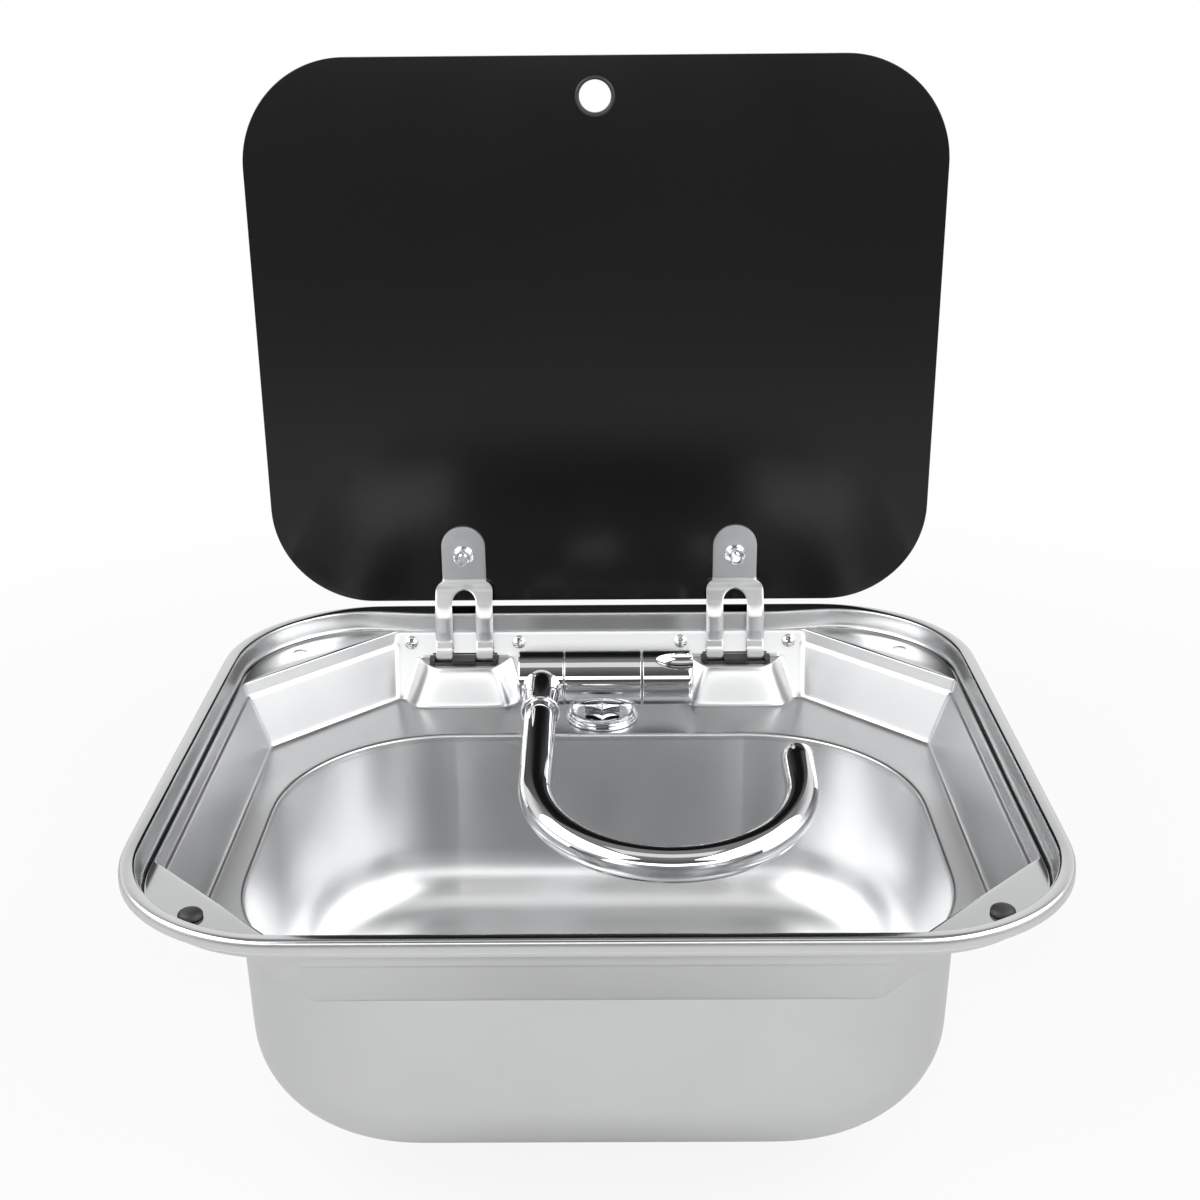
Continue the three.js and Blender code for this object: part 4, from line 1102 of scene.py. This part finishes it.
CAMERA_PLACE = (7.9124, -755.3664, 373.4665)
CAMERA_TURN = (0.3701, -0.0081, 0.009)  # pitch, yaw and roll, in radians
CAMERA_LENS = (36, 50.097)  # width of the sensor and focal length


def set_camera():
    """The photograph's view: lens, place and the three angles of its axis."""
    pitch, yaw, roll = CAMERA_TURN
    ahead = Vector((sin(yaw) * cos(pitch), cos(yaw) * cos(pitch), -sin(pitch)))
    level = Vector((cos(yaw), -sin(yaw), 0))
    down = ahead.cross(level)
    right = level * cos(roll) + down * sin(roll)
    up = level * sin(roll) - down * cos(roll)
    data = bpy.data.cameras.new("camera")
    data.sensor_width, data.lens = CAMERA_LENS
    camera = add_object("camera", data)
    axes = Matrix((right, up, -ahead)).transposed().to_4x4()
    camera.matrix_world = Matrix.Translation(Vector(CAMERA_PLACE) * MM) @ axes
    bpy.context.scene.camera = camera


# -------- floor, world and lamps

FLOOR_COLOUR = (0.6, 0.6, 0.6, 1)
FLOOR_Z = -188.6
FLOOR_HALF = 9000
OVERHEAD_LEVEL = 0.26  # share of white that the studio shows overhead
FRONT_LEVEL = 0.1  # and on the camera's side
CAMERA_SIDE = (-0.85, -0.35)  # Y of the directions between which the one goes over into the other
BACKDROP_TOP = (0.4, 0.85)  # Z of the directions between which metal's white backdrop fades out
FLOOR_SHOWN = 0.88  # share of plain white in what the camera sees of the floor near the object
FLOOR_MIRRORED = 0.25  # and in what metal and glass see of it
NEAR_FLOOR = (0.3, 1.2)  # distances in metres between which the floor goes over into plain white


def maths(tree, operation, *values):
    return node(tree, "Math", enumerate(values), operation=operation)[0]


def ramp(tree, *values):
    return map_range(tree, *values, kind="SMOOTHSTEP")


def ray_kinds(tree):
    """Whether a ray comes from the camera or through glass, and whether a glossy surface sent it."""
    path = node(tree, "LightPath")
    return maths(tree, "MAXIMUM", path["Is Camera Ray"], path["Is Transmission Ray"]), path["Is Glossy Ray"]


def set_world():
    """White for the camera and glass; metal sees it round the horizon, and a dim studio elsewhere."""
    world = bpy.data.worlds.new("studio")
    bpy.context.scene.world = world
    world.use_nodes = True
    tree = world.node_tree
    tree.nodes.clear()
    _, y, z = node(tree, "SeparateXYZ", {0: node(tree, "TexCoord")["Generated"]})
    backdrop = maths(tree, "MULTIPLY", ramp(tree, z, *BACKDROP_TOP, 1, 0), ramp(tree, y, *CAMERA_SIDE, 0, 1))
    studio = ramp(tree, y, *CAMERA_SIDE, FRONT_LEVEL, OVERHEAD_LEVEL)
    straight, glossy = ray_kinds(tree)
    seen = maths(tree, "MAXIMUM", straight, maths(tree, "MULTIPLY", glossy, backdrop))
    level = maths(tree, "MAXIMUM", seen, studio)
    node(tree, "OutputWorld", {0: node(tree, "Background", {"Color": (1, 1, 1, 1), "Strength": level})[0]})


def make_floor():
    """A pale floor that shows white beyond the object's soft shadow."""
    corners = [(-1, -1), (1, -1), (1, 1), (-1, 1)]
    points = [(x * FLOOR_HALF, y * FLOOR_HALF, FLOOR_Z) for x, y in corners]
    floor = new_piece("floor", points, [(0, 1, 2, 3)])
    material = bpy.data.materials.new("floor")
    material.use_nodes = True
    tree = material.node_tree
    shader = tree.nodes["Principled BSDF"]
    feed(tree, shader, {"Base Color": FLOOR_COLOUR, "Roughness": 1, "Specular IOR Level": 0})
    straight, glossy = ray_kinds(tree)
    where = node(tree, "TexCoord")["Object"]
    distance = node(tree, "VectorMath", {0: where}, operation="LENGTH")["Value"]
    near = ramp(tree, distance, *NEAR_FLOOR, FLOOR_SHOWN, 1)
    mirrored = maths(tree, "MULTIPLY", glossy, FLOOR_MIRRORED)
    share = maths(tree, "MAXIMUM", maths(tree, "MULTIPLY", straight, near), mirrored)
    glow = node(tree, "Emission", {"Strength": 1})[0]
    mix = node(tree, "MixShader", {0: share, 1: shader.outputs[0], 2: glow})[0]
    feed(tree, tree.nodes["Material Output"], {0: mix})
    floor.data.materials.append(material)


def add_lamp(name, spot, aim, width, height, power):
    data = bpy.data.lights.new(name, "AREA")
    data.shape = "RECTANGLE"
    data.size = width * MM
    data.size_y = height * MM
    data.energy = power
    lamp = add_object(name, data)
    lamp.location = Vector(spot) * MM
    lamp.rotation_euler = (Vector(aim) - Vector(spot)).to_track_quat("-Z", "Y").to_euler()


def set_lamps():
    """A wide box on each side, a low strip behind the camera and a weak box overhead."""
    for name, side in SIDES:
        spot = (side * 850, -250, 750)
        add_lamp(f"lamp_{name}", spot, aim=(0, 0, -40), width=1500, height=900, power=15)
    add_lamp("lamp_front", (0, -1000, 430), aim=(0, 0, 0), width=1800, height=260, power=4.4)
    add_lamp("lamp_top", (0, -200, 1500), aim=(0, 0, 0), width=1100, height=600, power=1.5)


set_camera()
set_world()
make_floor()
set_lamps()
bpy.context.scene.view_settings.view_transform = "Standard"
